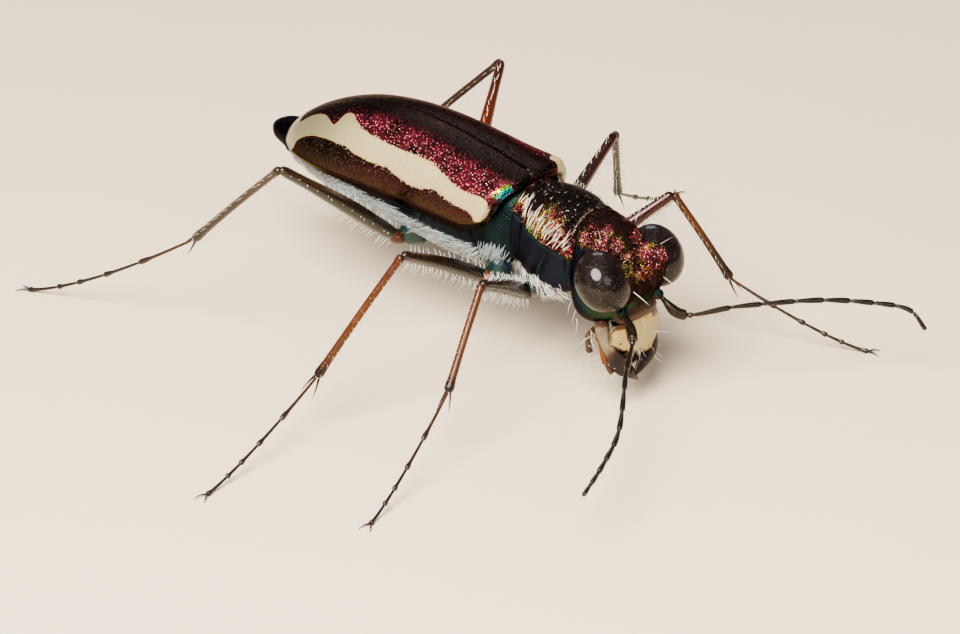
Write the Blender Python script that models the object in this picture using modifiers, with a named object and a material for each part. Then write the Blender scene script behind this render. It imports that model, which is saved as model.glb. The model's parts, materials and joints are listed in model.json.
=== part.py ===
"""Tiger beetle standing at rest, life size, as separate solids for each part of its body.

Lengths are written in millimetres and multiplied by MM where a mesh is made. Body parts
are drawn in the body's own axes (x to the beetle's left, y to its rear, z up, origin at
the middle of the waist), legs and feelers in the stance axes, whose z = 0 is the floor.
"""
import math

import bmesh
import bpy
from mathutils import Matrix, Vector

MM = 0.001

# Space kept between one part and the next
GAP = 0.27

# Where the body stands in the stance, and how far its head dips
STANCE_CENTRE = (-0.497, 2.248)
BODY_HEIGHT = 3.415
HEAD_DIP = math.radians(4.2)

# Wing cases
CASE_LENGTH = 7.10
CASE_HALF_WIDTH = 1.52
CASE_WIDEST_AT = 4.40
CASE_SHOULDER_TAPER = 0.10
CASE_SHOULDER_ROUND = 0.25
CASE_SHOULDER_CUT = 0.12
CASE_SHOULDER_LIFT = 0.40
CASE_SHOULDER_LIFT_END = 0.55
CASE_BASE_HEIGHT = 1.27
CASE_ARCH = 0.13
CASE_ARCH_AT = 2.60
CASE_THICKNESS = 0.50
CASE_FULLNESS = 2.15
CASE_EDGE_TUCK = 0.10
CASE_MARGIN_FRONT = -0.03
CASE_MARGIN_DROP = 0.40

# Trunk under the wing cases, split behind the hind hips
TRUNK_FRONT = -0.01
TRUNK_SPLIT = 2.95
CORE_END = 6.45
BELLY_STATIONS = (
    # y, half width, lowest z
    (-0.01, 0.80, -0.95),
    (0.60, 1.08, -1.18),
    (1.60, 1.20, -1.24),
    (2.70, 1.22, -1.22),
    (4.00, 1.26, -1.24),
    (5.20, 1.18, -1.20),
    (6.20, 0.92, -1.10),
    (6.95, 0.62, -0.98),
    (7.45, 0.34, -0.90),
    (7.62, 0.18, -0.86),
)
TAIL_CENTRE = (0.0, 7.50, -0.60)
TAIL_RADII = (0.32, 0.26, 0.30)

# Fore body: y, half width, top z, bottom z
PRONOTUM_STATIONS = (
    (-0.28, 0.80, 1.08, -0.78),
    (-0.46, 0.84, 1.12, -0.95),
    (-0.62, 0.92, 1.21, -1.06),
    (-1.00, 0.99, 1.27, -1.16),
    (-1.40, 0.98, 1.24, -1.16),
    (-1.72, 0.90, 1.14, -1.02),
    (-1.86, 0.84, 1.04, -0.90),
    (-2.00, 0.83, 1.02, -0.84),
)
HEAD_STATIONS = (
    (-2.27, 0.66, 0.88, -0.66),
    (-2.45, 0.80, 0.98, -0.84),
    (-2.80, 0.92, 1.00, -0.98),
    (-3.10, 0.90, 0.88, -1.00),
    (-3.32, 0.78, 0.58, -0.96),
    (-3.46, 0.60, 0.22, -0.88),
    (-3.53, 0.40, -0.10, -0.80),
)
FORE_FULLNESS = 2.25

# Eyes
EYE_CENTRE = Vector((0.89, -3.08, 0.055))
EYE_RADII = Vector((0.63, 0.66, 0.66))
EYE_INNER_FACE = 0.60

# Mouth
LIP_SIZE = Vector((1.30, 0.28, 0.60))
LIP_CENTRE = Vector((0.0, -3.56, -1.42))
JAW_PATH = ((0.72, -2.95, -1.28), (0.80, -2.98, -1.66), (0.64, -3.10, -2.06), (0.22, -3.24, -2.44))
JAW_RADII = (0.24, 0.24, 0.19, 0.09)
PALP_PATH = ((0.52, -2.32, -1.30), (0.72, -2.20, -1.70), (0.84, -2.30, -2.10), (0.66, -2.52, -2.40))
PALP_RADII = (0.24, 0.25, 0.24, 0.15)

# Feelers, in the stance axes, and the lengths they are divided at
FEELER_PATHS = {
    "left": (
        (0.60, -3.46, 2.46), (0.90, -3.92, 2.06), (1.94, -4.61, 2.12), (3.35, -5.70, 2.12),
        (4.30, -6.52, 1.98), (4.88, -7.08, 1.78), (5.04, -7.45, 1.34),
    ),
    "right": (
        (-0.60, -3.44, 2.50), (-0.88, -3.94, 2.15), (-1.91, -4.66, 1.94), (-3.46, -5.83, 1.60),
        (-4.60, -6.40, 1.45), (-5.79, -6.89, 1.35),
    ),
}
FEELER_RADIUS = 0.25
FEELER_TIP_RADIUS = 0.12
FEELER_CUTS = (("scape", 0.18, 1.00), ("base", 1.00, 2.75), ("middle", 2.75, 4.55), ("tip", 4.55, 6.50))

# Hips in the body axes (root, joint with the thigh); thigh end, shin end and toe in the stance axes
HIPS = {
    "front": ((0.50, -0.98, -0.88), (0.56, -0.67, -1.35)),
    "middle": ((0.56, 0.14, -0.92), (0.86, 0.31, -1.27)),
    "hind": ((0.70, 2.62, -1.06), (1.07, 2.79, -1.25)),
}
LEGS = {
    "front_right": ((-3.13, -1.52, 3.50), (-4.72, -1.99, 1.63), (-8.05, -2.82, 0.0)),
    "front_left": ((2.70, -1.98, 3.76), (3.62, -2.94, 1.61), (5.33, -5.61, 0.0)),
    "middle_right": ((-3.92, 0.10, 3.95), (-5.73, 1.01, 1.31), (-9.51, 0.66, 0.0)),
    "middle_left": ((3.96, 0.87, 3.88), (5.35, 1.98, 1.51), (8.50, 2.90, 0.0)),
    "hind_right": ((-4.53, 3.22, 5.23), (-4.17, 6.35, 2.32), (-5.42, 10.60, 0.0)),
    "hind_left": ((4.59, 4.96, 4.22), (3.71, 7.86, 1.15), (6.10, 11.60, 0.0)),
}
HIP_RADII = (0.34, 0.36, 0.29)
THIGH_RADII = ((0.0, 0.27), (0.12, 0.28), (0.35, 0.30), (0.70, 0.27), (1.0, 0.25))
SHIN_RADIUS = 0.25
TOE_JOINTS = (0.0, 0.21, 0.43, 0.64, 0.82, 1.0)
TOE_WAIST = 0.215
TOE_SWELL = 0.25
TOE_END_RADIUS = 0.20
TOE_END_HEIGHT = 0.165
TOE_DROOP = 1.3
CLAW_LENGTH = 0.38
CLAW_SPREAD = 0.15
CLAW_RADII = (0.11, 0.09, 0.05)

TUBE_RESOLUTION = 2
WELD = 1e-6


def finish(name, colour, roughness, metallic):
    """A material of one part, with its main colour."""
    material = bpy.data.materials.new(name)
    material.use_nodes = True
    shader = material.node_tree.nodes["Principled BSDF"]
    shader.inputs["Base Color"].default_value = (*colour, 1.0)
    shader.inputs["Roughness"].default_value = roughness
    shader.inputs["Metallic"].default_value = metallic
    return material


def place(name, mesh, home, parent, material):
    """Make an object of a mesh, hang it on its parent and shade it smooth."""
    thing = bpy.data.objects.new(name, mesh)
    home.objects.link(thing)
    thing.parent = parent
    if material:
        mesh.materials.append(material)
    mesh.shade_smooth()
    mesh.set_sharp_from_angle(angle=math.radians(50))
    return thing


def mesh_from(name, body):
    """Turn a bmesh into a mesh, with its faces pointing out."""
    bmesh.ops.recalc_face_normals(body, faces=body.faces)
    mesh = bpy.data.meshes.new(name)
    body.to_mesh(mesh)
    body.free()
    return mesh


def loft(rings):
    """A closed bmesh through rings of as many points each, in millimetres."""
    body = bmesh.new()
    rows = [[body.verts.new(Vector(point) * MM) for point in ring] for ring in rings]
    for near, far in zip(rows, rows[1:]):
        for here in range(len(near)):
            there = (here + 1) % len(near)
            body.faces.new((near[here], near[there], far[there], far[here]))
    body.faces.new(rows[0])
    body.faces.new(rows[-1])
    return body


def power(value, exponent):
    """The signed power that a superellipse needs."""
    return math.copysign(abs(value) ** exponent, value)


def oval(y, half_width, top, bottom, fullness, count=24):
    """A ring across the body: a superellipse with its own height above and below."""
    middle = (top + bottom) / 2
    reach = (top - bottom) / 2
    ring = []
    for step in range(count):
        turn = 2 * math.pi * step / count
        x = half_width * power(math.cos(turn), 2 / fullness)
        ring.append((x, y, middle + reach * power(math.sin(turn), 2 / fullness)))
    return ring


def between(stations, y):
    """The values at y, read from a list of stations along the body by smooth steps."""
    for before, after in zip(stations, stations[1:]):
        low, high = sorted((before[0], after[0]))
        if low <= y <= high:
            share = (y - before[0]) / (after[0] - before[0])
            return [a + (b - a) * share for a, b in zip(before[1:], after[1:])]
    return list(stations[0][1:] if abs(y - stations[0][0]) < abs(y - stations[-1][0]) else stations[-1][1:])


def case_half_width(y):
    """Half the width of the closed wing cases at y."""
    if y > CASE_WIDEST_AT:
        share = min((y - CASE_WIDEST_AT) / (CASE_LENGTH - CASE_WIDEST_AT), 1.0)
        return max(CASE_HALF_WIDTH * (1 - share**2.6) ** 0.6, 0.30)
    forward = 1 - y / CASE_WIDEST_AT
    corner = max(1 - y / CASE_SHOULDER_ROUND, 0.0)
    return (CASE_HALF_WIDTH - CASE_SHOULDER_TAPER * forward) * (1 - CASE_SHOULDER_CUT * corner**2.5)


def case_top(y):
    """Height of the seam between the wing cases at y."""
    rise = CASE_ARCH * math.sin(math.pi / 2 * min(y / CASE_ARCH_AT, 1.0))
    share = min(max((y - CASE_ARCH_AT) / (CASE_LENGTH - CASE_ARCH_AT), 0.0), 1.0)
    return CASE_BASE_HEIGHT + rise - 1.2 * share**2.2 - 0.62 * (1 - math.sqrt(1 - share**12))


def case_margin(y):
    """Height of the outer edge of the wing cases at y."""
    share = min(max(y / CASE_LENGTH, 0.0), 1.0)
    corner = min(max(1 - y / CASE_SHOULDER_LIFT_END, 0.0), 1.0)
    return CASE_MARGIN_FRONT - CASE_MARGIN_DROP * share**1.8 + CASE_SHOULDER_LIFT * corner**1.5


def case_ring(y, side, steps=12):
    """One wing case cut across: a closed half vault on its own side of the seam."""
    half_width = case_half_width(y)
    top, margin = case_top(y), case_margin(y)
    seam = GAP / 2
    start = math.asin((seam / half_width) ** (CASE_FULLNESS / 2))
    ring = []
    for step in range(steps + 1):
        turn = start + (math.pi / 2 - start) * step / steps
        x = half_width * math.sin(turn) ** (2 / CASE_FULLNESS)
        z = margin + (top - margin) * max(math.cos(turn), 0.0) ** (2 / CASE_FULLNESS)
        ring.append((side * x, y, z))
    ring.append((side * (half_width - 0.05), y, margin - CASE_EDGE_TUCK))
    ring.append((side * seam, y, margin - CASE_EDGE_TUCK))
    return ring


def core_ring(y, swell, foot):
    """The trunk's upper part cut across, below the wing cases; swell grows it on every side."""
    half_width = max(case_half_width(max(y, 0.3)) - CASE_THICKNESS - GAP + swell, 0.1)
    top = case_top(max(y, 0.0)) - CASE_THICKNESS - GAP + swell
    margin = min(case_margin(y), CASE_MARGIN_FRONT)
    ring = []
    for step in range(13):
        turn = math.pi * step / 12
        x = half_width * power(math.cos(turn), 2 / CASE_FULLNESS)
        ring.append((x, y, margin + (top - margin) * math.sin(turn) ** (2 / CASE_FULLNESS)))
    ring.append((-half_width, y, foot))
    ring.append((half_width, y, foot))
    return ring


def belly_shelf(y):
    """Height of the belly's upper edge, just clear of the wing cases."""
    return min(case_margin(y), CASE_MARGIN_FRONT) - CASE_EDGE_TUCK - GAP


def belly_ring(y):
    """The trunk's lower part cut across: a bowl under the wing cases' edge."""
    half_width, lowest = between(BELLY_STATIONS, y)
    shelf = belly_shelf(y)
    ring = []
    for step in range(15):
        turn = math.pi * step / 14
        x = half_width * power(math.cos(turn), 0.8)
        ring.append((x, y, shelf - (shelf - lowest) * math.sin(turn) ** 0.9))
    for step in range(1, 6):
        share = step / 6
        ring.append((half_width * (2 * share - 1), y, shelf))
    return ring


def spaced(first, last, count):
    """Places between first and last, closer together near both ends."""
    return [first + (last - first) * (1 - math.cos(math.pi * k / (count - 1))) / 2 for k in range(count)]


def tube_mesh(points, radii):
    """A round tube along points with a radius at each, closed at both ends, as a bmesh."""
    line = bpy.data.curves.new("tube", "CURVE")
    line.dimensions = "3D"
    line.bevel_depth = MM
    line.bevel_resolution = TUBE_RESOLUTION
    line.use_fill_caps = True
    spline = line.splines.new("POLY")
    spline.points.add(len(points) - 1)
    for knot, point, radius in zip(spline.points, points, radii):
        knot.co = (*(Vector(point) * MM), 1.0)
        knot.radius = radius
    rod = bpy.data.objects.new("tube", line)
    bpy.context.scene.collection.objects.link(rod)
    graph = bpy.context.evaluated_depsgraph_get()
    mesh = bpy.data.meshes.new_from_object(rod.evaluated_get(graph))
    body = bmesh.new()
    body.from_mesh(mesh)
    bmesh.ops.remove_doubles(body, verts=body.verts, dist=WELD)
    bpy.data.objects.remove(rod)
    bpy.data.curves.remove(line)
    bpy.data.meshes.remove(mesh)
    return body


def trim(body, point, normal):
    """Cut a closed bmesh with a plane, keep the side that normal points to, and close it."""
    everything = body.verts[:] + body.edges[:] + body.faces[:]
    cut = bmesh.ops.bisect_plane(
        body, geom=everything, dist=1e-8, plane_co=Vector(point) * MM, plane_no=normal, clear_inner=True
    )
    rim = [edge for edge in cut["geom_cut"] if isinstance(edge, bmesh.types.BMEdge)]
    bmesh.ops.contextual_create(body, geom=rim)


def smooth_path(points, step=0.25):
    """Points along a smooth curve through the given points, about a step apart."""
    knots = [Vector(point) for point in points]
    knots = [2 * knots[0] - knots[1], *knots, 2 * knots[-1] - knots[-2]]
    path = []
    for a, b, c, d in zip(knots, knots[1:], knots[2:], knots[3:]):
        count = max(2, round((c - b).length / step))
        for k in range(count):
            t = k / count
            path.append(
                0.5 * (2 * b + (c - a) * t + (2 * a - 5 * b + 4 * c - d) * t**2 + (3 * b - a - 3 * c + d) * t**3)
            )
    path.append(knots[-2])
    return path


def walked(path):
    """The distance walked along a path at each of its points."""
    total = [0.0]
    for a, b in zip(path, path[1:]):
        total.append(total[-1] + (b - a).length)
    return total


def at_length(path, lengths, length):
    """The point and direction of a path at a distance along it."""
    for k in range(1, len(path)):
        if lengths[k] >= length or k == len(path) - 1:
            way = (path[k] - path[k - 1]).normalized()
            return path[k - 1] + way * (length - lengths[k - 1]), way


def mitre(before, joint, after):
    """The direction a bent limb has where two of its lengths meet."""
    return ((joint - before).normalized() + (after - joint).normalized()).normalized()


def limb(start, end, radii, first_cut, last_cut):
    """A straight limb length between two joints, parted there by planes half a gap back."""
    way = (end - start).normalized()
    span = (end - start).length
    points = [start - way * radii[0][1]]
    sizes = [radii[0][1]]
    for share, radius in radii:
        points.append(start + way * span * share)
        sizes.append(radius)
    points.append(end + way * radii[-1][1])
    sizes.append(radii[-1][1])
    body = tube_mesh(points, sizes)
    if first_cut:
        trim(body, start + first_cut * GAP / 2, first_cut)
    if last_cut:
        trim(body, end - last_cut * GAP / 2, -last_cut)
    return body


def toe_path(ankle, toe):
    """Axis and radius of a foot's five joints, from the ankle to the floor."""
    points, radii = [], []
    for number, (low, high) in enumerate(zip(TOE_JOINTS, TOE_JOINTS[1:])):
        for inner in (0.0, 0.45, 0.85):
            share = low + (high - low) * inner
            points.append(share)
            radii.append(TOE_WAIST if inner == 0.0 and number else TOE_SWELL - 0.03 * share)
    points.append(1.0)
    radii.append(TOE_END_RADIUS)
    drop = ankle.z - TOE_END_HEIGHT
    axis = [
        Vector((*ankle.lerp(toe, share).xy, TOE_END_HEIGHT + drop * (1 - share) ** TOE_DROOP))
        for share in points
    ]
    return axis, radii


def join(name, bodies):
    """One closed mesh from several closed bmeshes that overlap."""
    group = bpy.data.collections.new(name + "_pieces")
    pieces = []
    for number, body in enumerate(bodies):
        piece = bpy.data.objects.new(f"{name}_piece_{number}", mesh_from(name, body))
        bpy.context.scene.collection.objects.link(piece)
        pieces.append(piece)
        if number:
            group.objects.link(piece)
    union = pieces[0].modifiers.new("union", "BOOLEAN")
    union.operation = "UNION"
    union.solver = "EXACT"
    union.operand_type = "COLLECTION"
    union.collection = group
    graph = bpy.context.evaluated_depsgraph_get()
    mesh = bpy.data.meshes.new_from_object(pieces[0].evaluated_get(graph))
    for piece in pieces:
        bpy.data.objects.remove(piece)
    bpy.data.collections.remove(group)
    body = bmesh.new()
    body.from_mesh(mesh)
    bpy.data.meshes.remove(mesh)
    return keep_largest(body)


def volume(faces):
    """The volume enclosed by faces that point out."""
    total = 0.0
    for face in faces:
        first, *others = [vert.co for vert in face.verts]
        total += sum(first.dot(a.cross(b)) for a, b in zip(others, others[1:])) / 6
    return total


def keep_largest(body):
    """Keep only the largest closed surface of a bmesh."""
    left = set(body.verts)
    islands = []
    while left:
        island, front = set(), [left.pop()]
        while front:
            vert = front.pop()
            island.add(vert)
            for edge in vert.link_edges:
                other = edge.other_vert(vert)
                if other in left:
                    left.remove(other)
                    front.append(other)
        faces = {face for vert in island for face in vert.link_faces}
        islands.append((abs(volume(faces)), len(islands), island))
    for _, _, island in sorted(islands)[:-1]:
        bmesh.ops.delete(body, geom=list(island), context="VERTS")
    return body


def hollow(thing, cutters):
    """Cut the objects of a collection out of a part, and drop what the cut leaves loose."""
    cut = thing.modifiers.new("clearance", "BOOLEAN")
    cut.operation = "DIFFERENCE"
    cut.solver = "EXACT"
    cut.operand_type = "COLLECTION"
    cut.collection = cutters
    graph = bpy.context.evaluated_depsgraph_get()
    mesh = bpy.data.meshes.new_from_object(thing.evaluated_get(graph))
    body = bmesh.new()
    body.from_mesh(mesh)
    bpy.data.meshes.remove(mesh)
    keep_largest(body)
    body.to_mesh(thing.data)
    body.free()
    thing.modifiers.remove(cut)


def add_cutter(name, body, cutters, parent):
    """A helper solid that is taken away from a part."""
    helper = place(name, mesh_from(name, body), cutters, parent, None)
    helper.hide_render = True
    helper.display_type = "WIRE"
    return helper


def ball(centre, radii, segments=28, rings=16):
    """An ellipsoid as a bmesh."""
    body = bmesh.new()
    size = Matrix.Diagonal((*(Vector(radii) * MM), 1.0))
    where = Matrix.Translation(Vector(centre) * MM)
    bmesh.ops.create_uvsphere(body, u_segments=segments, v_segments=rings, radius=1.0, matrix=where @ size)
    return body


def mirrored(point, side):
    """A point of the beetle's left side, or its image on the right."""
    return Vector((side * point[0], point[1], point[2]))


def clear_scene():
    """Remove every object of the scene the script starts in."""
    for thing in list(bpy.data.objects):
        bpy.data.objects.remove(thing)


def empty(name, parent, location, tilt=0.0):
    """A frame that parts hang on."""
    frame = bpy.data.objects.new(name, None)
    bpy.context.scene.collection.objects.link(frame)
    frame.parent = parent
    frame.location = Vector(location) * MM
    frame.rotation_euler.x = tilt
    return frame


def build_trunk(parts, cutters, body_frame, finishes):
    """The thorax with its hip hollows, and the abdomen, under the wing cases."""
    belly = loft([belly_ring(y) for y in spaced(TRUNK_FRONT, BELLY_STATIONS[-1][0], 22)])
    places = spaced(TRUNK_FRONT, CORE_END - GAP, 18)
    core = loft([core_ring(y, 0.0, belly_shelf(y) - 0.25) for y in places])
    tail = ball(TAIL_CENTRE, TAIL_RADII, 20, 12)
    whole = join("trunk", [belly, core, tail])
    rear = whole.copy()
    split = Vector((0.0, TRUNK_SPLIT, 0.0))
    trim(whole, split - Vector((0, GAP / 2, 0)), Vector((0, -1, 0)))
    trim(rear, split + Vector((0, GAP / 2, 0)), Vector((0, 1, 0)))
    thorax = place("thorax", mesh_from("thorax", whole), parts, body_frame, finishes["flank"])
    abdomen = place("abdomen", mesh_from("abdomen", rear), parts, body_frame, finishes["belly"])
    hollow(thorax, cutters["trunk"])
    hollow(abdomen, cutters["hind"])


def build_cases(parts, cutters, body_frame, finishes):
    """The two wing cases, hollowed to sit over the trunk."""
    places = spaced(-0.4, CORE_END, 18)
    void = loft([core_ring(y, GAP, case_margin(y) - 0.6) for y in places])
    add_cutter("case_void", void, cutters["cases"], body_frame)
    for name, side in (("left", 1), ("right", -1)):
        shell = loft([case_ring(y, side) for y in spaced(0.0, CASE_LENGTH, 26)])
        mesh = mesh_from(f"elytron_{name}", shell)
        hollow(place(f"elytron_{name}", mesh, parts, body_frame, finishes["case"]), cutters["cases"])


def build_fore_body(parts, cutters, body_frame, finishes):
    """The pronotum, the head with its eye hollows, and the eyes."""
    rings = [oval(*station, FORE_FULLNESS) for station in PRONOTUM_STATIONS]
    pronotum = place("pronotum", mesh_from("pronotum", loft(rings)), parts, body_frame, finishes["pronotum"])
    hollow(pronotum, cutters["front"])
    rings = [oval(*station, FORE_FULLNESS) for station in HEAD_STATIONS]
    head = place("head", mesh_from("head", loft(rings)), parts, body_frame, finishes["head"])
    room = EYE_RADII + Vector((GAP, GAP, GAP))
    for name, side in (("left", 1), ("right", -1)):
        centre = mirrored(EYE_CENTRE, side)
        outward = Vector((side, 0, 0))
        eye = ball(centre, EYE_RADII)
        trim(eye, Vector((side * EYE_INNER_FACE, 0, 0)), outward)
        place(f"eye_{name}", mesh_from(f"eye_{name}", eye), parts, body_frame, finishes["eye"])
        socket = ball(centre, room)
        trim(socket, Vector((side * (EYE_INNER_FACE - GAP), 0, 0)), outward)
        add_cutter(f"socket_{name}", socket, cutters["eyes"], body_frame)
    hollow(head, cutters["eyes"])


def build_mouth(parts, body_frame, finishes):
    """The upper lip, the two jaws and the two palps."""
    body = bmesh.new()
    size = Matrix.Diagonal((*(LIP_SIZE * MM), 1.0))
    bmesh.ops.create_cube(body, size=1.0, matrix=Matrix.Translation(LIP_CENTRE * MM) @ size)
    lip = place("labrum", mesh_from("labrum", body), parts, body_frame, finishes["lip"])
    bevel = lip.modifiers.new("edges", "BEVEL")
    bevel.width = 0.10 * MM
    bevel.segments = 3
    for name, side in (("left", 1), ("right", -1)):
        for part, path, radii, look in (
            ("mandible", JAW_PATH, JAW_RADII, "jaw"),
            ("palp", PALP_PATH, PALP_RADII, "palp"),
        ):
            route = smooth_path([mirrored(point, side) for point in path], 0.2)
            lengths = walked(route)
            sizes = [spread(radii, lengths[k] / lengths[-1]) for k in range(len(route))]
            mesh = mesh_from(f"{part}_{name}", tube_mesh(route, sizes))
            place(f"{part}_{name}", mesh, parts, body_frame, finishes[look])


def spread(values, share):
    """A value read from an even list at a share of its length."""
    spot = share * (len(values) - 1)
    low = min(int(spot), len(values) - 2)
    return values[low] + (values[low + 1] - values[low]) * (spot - low)


def build_feelers(parts, stance, finishes):
    """Both feelers, each divided into its scape and three lengths."""
    for side, points in FEELER_PATHS.items():
        path = smooth_path(points, 0.2)
        lengths = walked(path)
        for name, begin, end in FEELER_CUTS:
            end = min(end, lengths[-1])
            last = end == lengths[-1]
            inside = [k for k, length in enumerate(lengths) if begin - 0.3 < length < end + 0.3]
            knots = [path[k] for k in inside]
            sizes = [
                FEELER_RADIUS
                + (FEELER_TIP_RADIUS - FEELER_RADIUS) * max(0.0, (lengths[k] / lengths[-1] - 0.75) / 0.25)
                for k in inside
            ]
            body = tube_mesh(knots, sizes)
            spot, way = at_length(path, lengths, begin)
            trim(body, spot + way * GAP / 2, way)
            if not last:
                spot, way = at_length(path, lengths, end)
                trim(body, spot - way * GAP / 2, -way)
            label = f"antenna_{side}_{name}"
            place(label, mesh_from(label, body), parts, stance, finishes["feeler"])


def build_legs(parts, cutters, stance, to_stance, finishes):
    """Six legs, each a hip, thigh, shin and foot, and the room the hips need."""
    floor = Vector((0, 0, 0))
    up = Vector((0, 0, 1))
    for name, (knee, ankle, toe) in LEGS.items():
        row, hand = name.split("_")
        side = 1 if hand == "left" else -1
        root, joint = [to_stance @ mirrored(point, side) for point in HIPS[row]]
        knee, ankle, toe = Vector(knee), Vector(ankle), Vector(toe)
        hip_cut = mitre(root, joint, knee)
        knee_cut = mitre(joint, knee, ankle)
        toe_axis, toe_radii = toe_path(ankle, toe)
        ankle_cut = mitre(knee, ankle, toe_axis[1])
        hip_sizes = [(share, radius) for share, radius in zip((0.0, 0.5, 1.0), HIP_RADII)]
        lengths = (
            ("coxa", limb(root, joint, hip_sizes, None, hip_cut), "hip"),
            ("femur", limb(joint, knee, THIGH_RADII, hip_cut, knee_cut), "thigh"),
            ("tibia", limb(knee, ankle, ((0.0, SHIN_RADIUS), (1.0, SHIN_RADIUS)), knee_cut, ankle_cut), "shin"),
            ("tarsus", foot(toe_axis, toe_radii, ankle_cut), "foot"),
        )
        for part, body, look in lengths:
            if part == "tarsus":
                trim(body, floor, up)
            label = f"{part}_{name}"
            place(label, mesh_from(label, body), parts, stance, finishes[look])
        for part, start, end, sizes in (
            ("hip", root, joint, hip_sizes),
            ("thigh", joint, joint.lerp(knee, 0.5), ((0.0, 0.29), (1.0, 0.30))),
        ):
            wide = [(share, radius + GAP) for share, radius in sizes]
            helper = add_cutter(f"{part}_room_{name}", limb(start, end, wide, None, None), cutters[row], stance)
            if row != "front":
                cutters["trunk"].objects.link(helper)


def foot(axis, radii, ankle_cut):
    """A foot of five joints with two claws, parted at the ankle."""
    way = (axis[1] - axis[0]).normalized()
    body = tube_mesh([axis[0] - way * 0.25, *axis], [radii[0], *radii])
    trim(body, axis[0] + ankle_cut * GAP / 2, ankle_cut)
    ahead = (axis[-1] - axis[-3]).normalized()
    ahead.z = 0.0
    aside = Vector((-ahead.y, ahead.x, 0.0))
    claws = []
    for side in (1, -1):
        tip = axis[-1]
        low = Vector((0, 0, -0.6 * TOE_END_HEIGHT))
        path = [
            tip - ahead * 0.14 + aside * side * 0.04,
            tip + ahead * CLAW_LENGTH * 0.5 + aside * side * CLAW_SPREAD,
            tip + ahead * CLAW_LENGTH + aside * side * CLAW_SPREAD * 1.2 + low,
        ]
        claws.append(tube_mesh(path, CLAW_RADII))
    return join("foot", [body, *claws])


def main():
    """Build the beetle."""
    clear_scene()
    parts = bpy.data.collections.new("tiger_beetle")
    bpy.context.scene.collection.children.link(parts)
    shelf = bpy.data.collections.new("cutters")
    bpy.context.scene.collection.children.link(shelf)
    cutters = {}
    for name in ("trunk", "front", "middle", "hind", "cases", "eyes"):
        cutters[name] = bpy.data.collections.new(f"cutters_{name}")
        shelf.children.link(cutters[name])
    stance = empty("stance", None, (-STANCE_CENTRE[0], -STANCE_CENTRE[1], 0.0))
    body_frame = empty("body_axes", stance, (0.0, 0.0, BODY_HEIGHT), HEAD_DIP)
    to_stance = Matrix.Translation((0, 0, BODY_HEIGHT)) @ Matrix.Rotation(HEAD_DIP, 4, "X")
    finishes = {
        "case": finish("wing_case_shell", (0.10, 0.012, 0.030), 0.30, 0.8),
        "pronotum": finish("pronotum_shell", (0.09, 0.025, 0.030), 0.35, 0.8),
        "head": finish("head_shell", (0.14, 0.030, 0.035), 0.32, 0.8),
        "eye": finish("eye_lens", (0.050, 0.030, 0.032), 0.20, 0.0),
        "lip": finish("upper_lip", (0.72, 0.60, 0.38), 0.35, 0.0),
        "jaw": finish("jaw", (0.30, 0.20, 0.12), 0.30, 0.0),
        "palp": finish("palp", (0.42, 0.16, 0.05), 0.40, 0.0),
        "feeler": finish("feeler", (0.035, 0.025, 0.022), 0.45, 0.1),
        "flank": finish("thorax_flank", (0.06, 0.12, 0.13), 0.40, 0.7),
        "belly": finish("abdomen_plates", (0.06, 0.07, 0.10), 0.35, 0.6),
        "hip": finish("hip", (0.10, 0.08, 0.07), 0.40, 0.4),
        "thigh": finish("thigh", (0.09, 0.06, 0.06), 0.35, 0.6),
        "shin": finish("shin", (0.32, 0.11, 0.04), 0.40, 0.0),
        "foot": finish("foot", (0.05, 0.035, 0.03), 0.45, 0.2),
    }
    build_legs(parts, cutters, stance, to_stance, finishes)
    build_trunk(parts, cutters, body_frame, finishes)
    build_cases(parts, cutters, body_frame, finishes)
    build_fore_body(parts, cutters, body_frame, finishes)
    build_mouth(parts, body_frame, finishes)
    build_feelers(parts, stance, finishes)


main()
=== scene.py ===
"""A still, life-size tiger beetle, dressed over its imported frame.

Sizes are in millimetres. The trunk and the head are laid out in body axes, x to the
beetle's left, y to its rear and z up, which are then dipped and set on the feet. The
feelers and the legs are laid out in stance axes, which stand level on the floor.
"""

import json
import logging
import math
from abc import ABC, abstractmethod
from dataclasses import dataclass, field
from enum import Enum
from typing import Callable, Iterable, Sequence

import bpy
import numpy as np
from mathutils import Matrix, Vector

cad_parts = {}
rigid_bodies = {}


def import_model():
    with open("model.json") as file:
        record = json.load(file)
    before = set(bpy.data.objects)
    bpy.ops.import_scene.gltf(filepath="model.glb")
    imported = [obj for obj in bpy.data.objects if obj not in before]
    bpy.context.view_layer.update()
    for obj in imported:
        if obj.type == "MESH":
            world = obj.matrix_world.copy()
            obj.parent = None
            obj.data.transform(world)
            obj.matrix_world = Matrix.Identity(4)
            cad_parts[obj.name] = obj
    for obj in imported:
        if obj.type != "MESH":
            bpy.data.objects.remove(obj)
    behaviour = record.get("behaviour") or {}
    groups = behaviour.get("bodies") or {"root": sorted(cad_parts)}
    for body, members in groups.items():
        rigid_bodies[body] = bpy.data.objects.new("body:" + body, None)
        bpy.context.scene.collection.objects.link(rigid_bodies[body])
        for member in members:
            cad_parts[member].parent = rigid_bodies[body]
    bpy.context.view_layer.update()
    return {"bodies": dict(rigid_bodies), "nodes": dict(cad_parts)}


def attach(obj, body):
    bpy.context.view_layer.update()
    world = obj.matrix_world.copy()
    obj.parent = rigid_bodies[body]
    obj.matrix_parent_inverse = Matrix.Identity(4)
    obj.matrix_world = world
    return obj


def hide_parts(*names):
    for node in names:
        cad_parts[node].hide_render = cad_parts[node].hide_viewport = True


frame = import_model()

Array = np.ndarray
Point = tuple[float, float, float]
Tint = tuple[float, float, float]
Field = Callable[[Array], Array]
Outlets = bpy.types.NodeOutputs
Filling = Callable[["Wiring", Outlets], dict[str, object]]

log = logging.getLogger("tiger_beetle")

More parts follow.
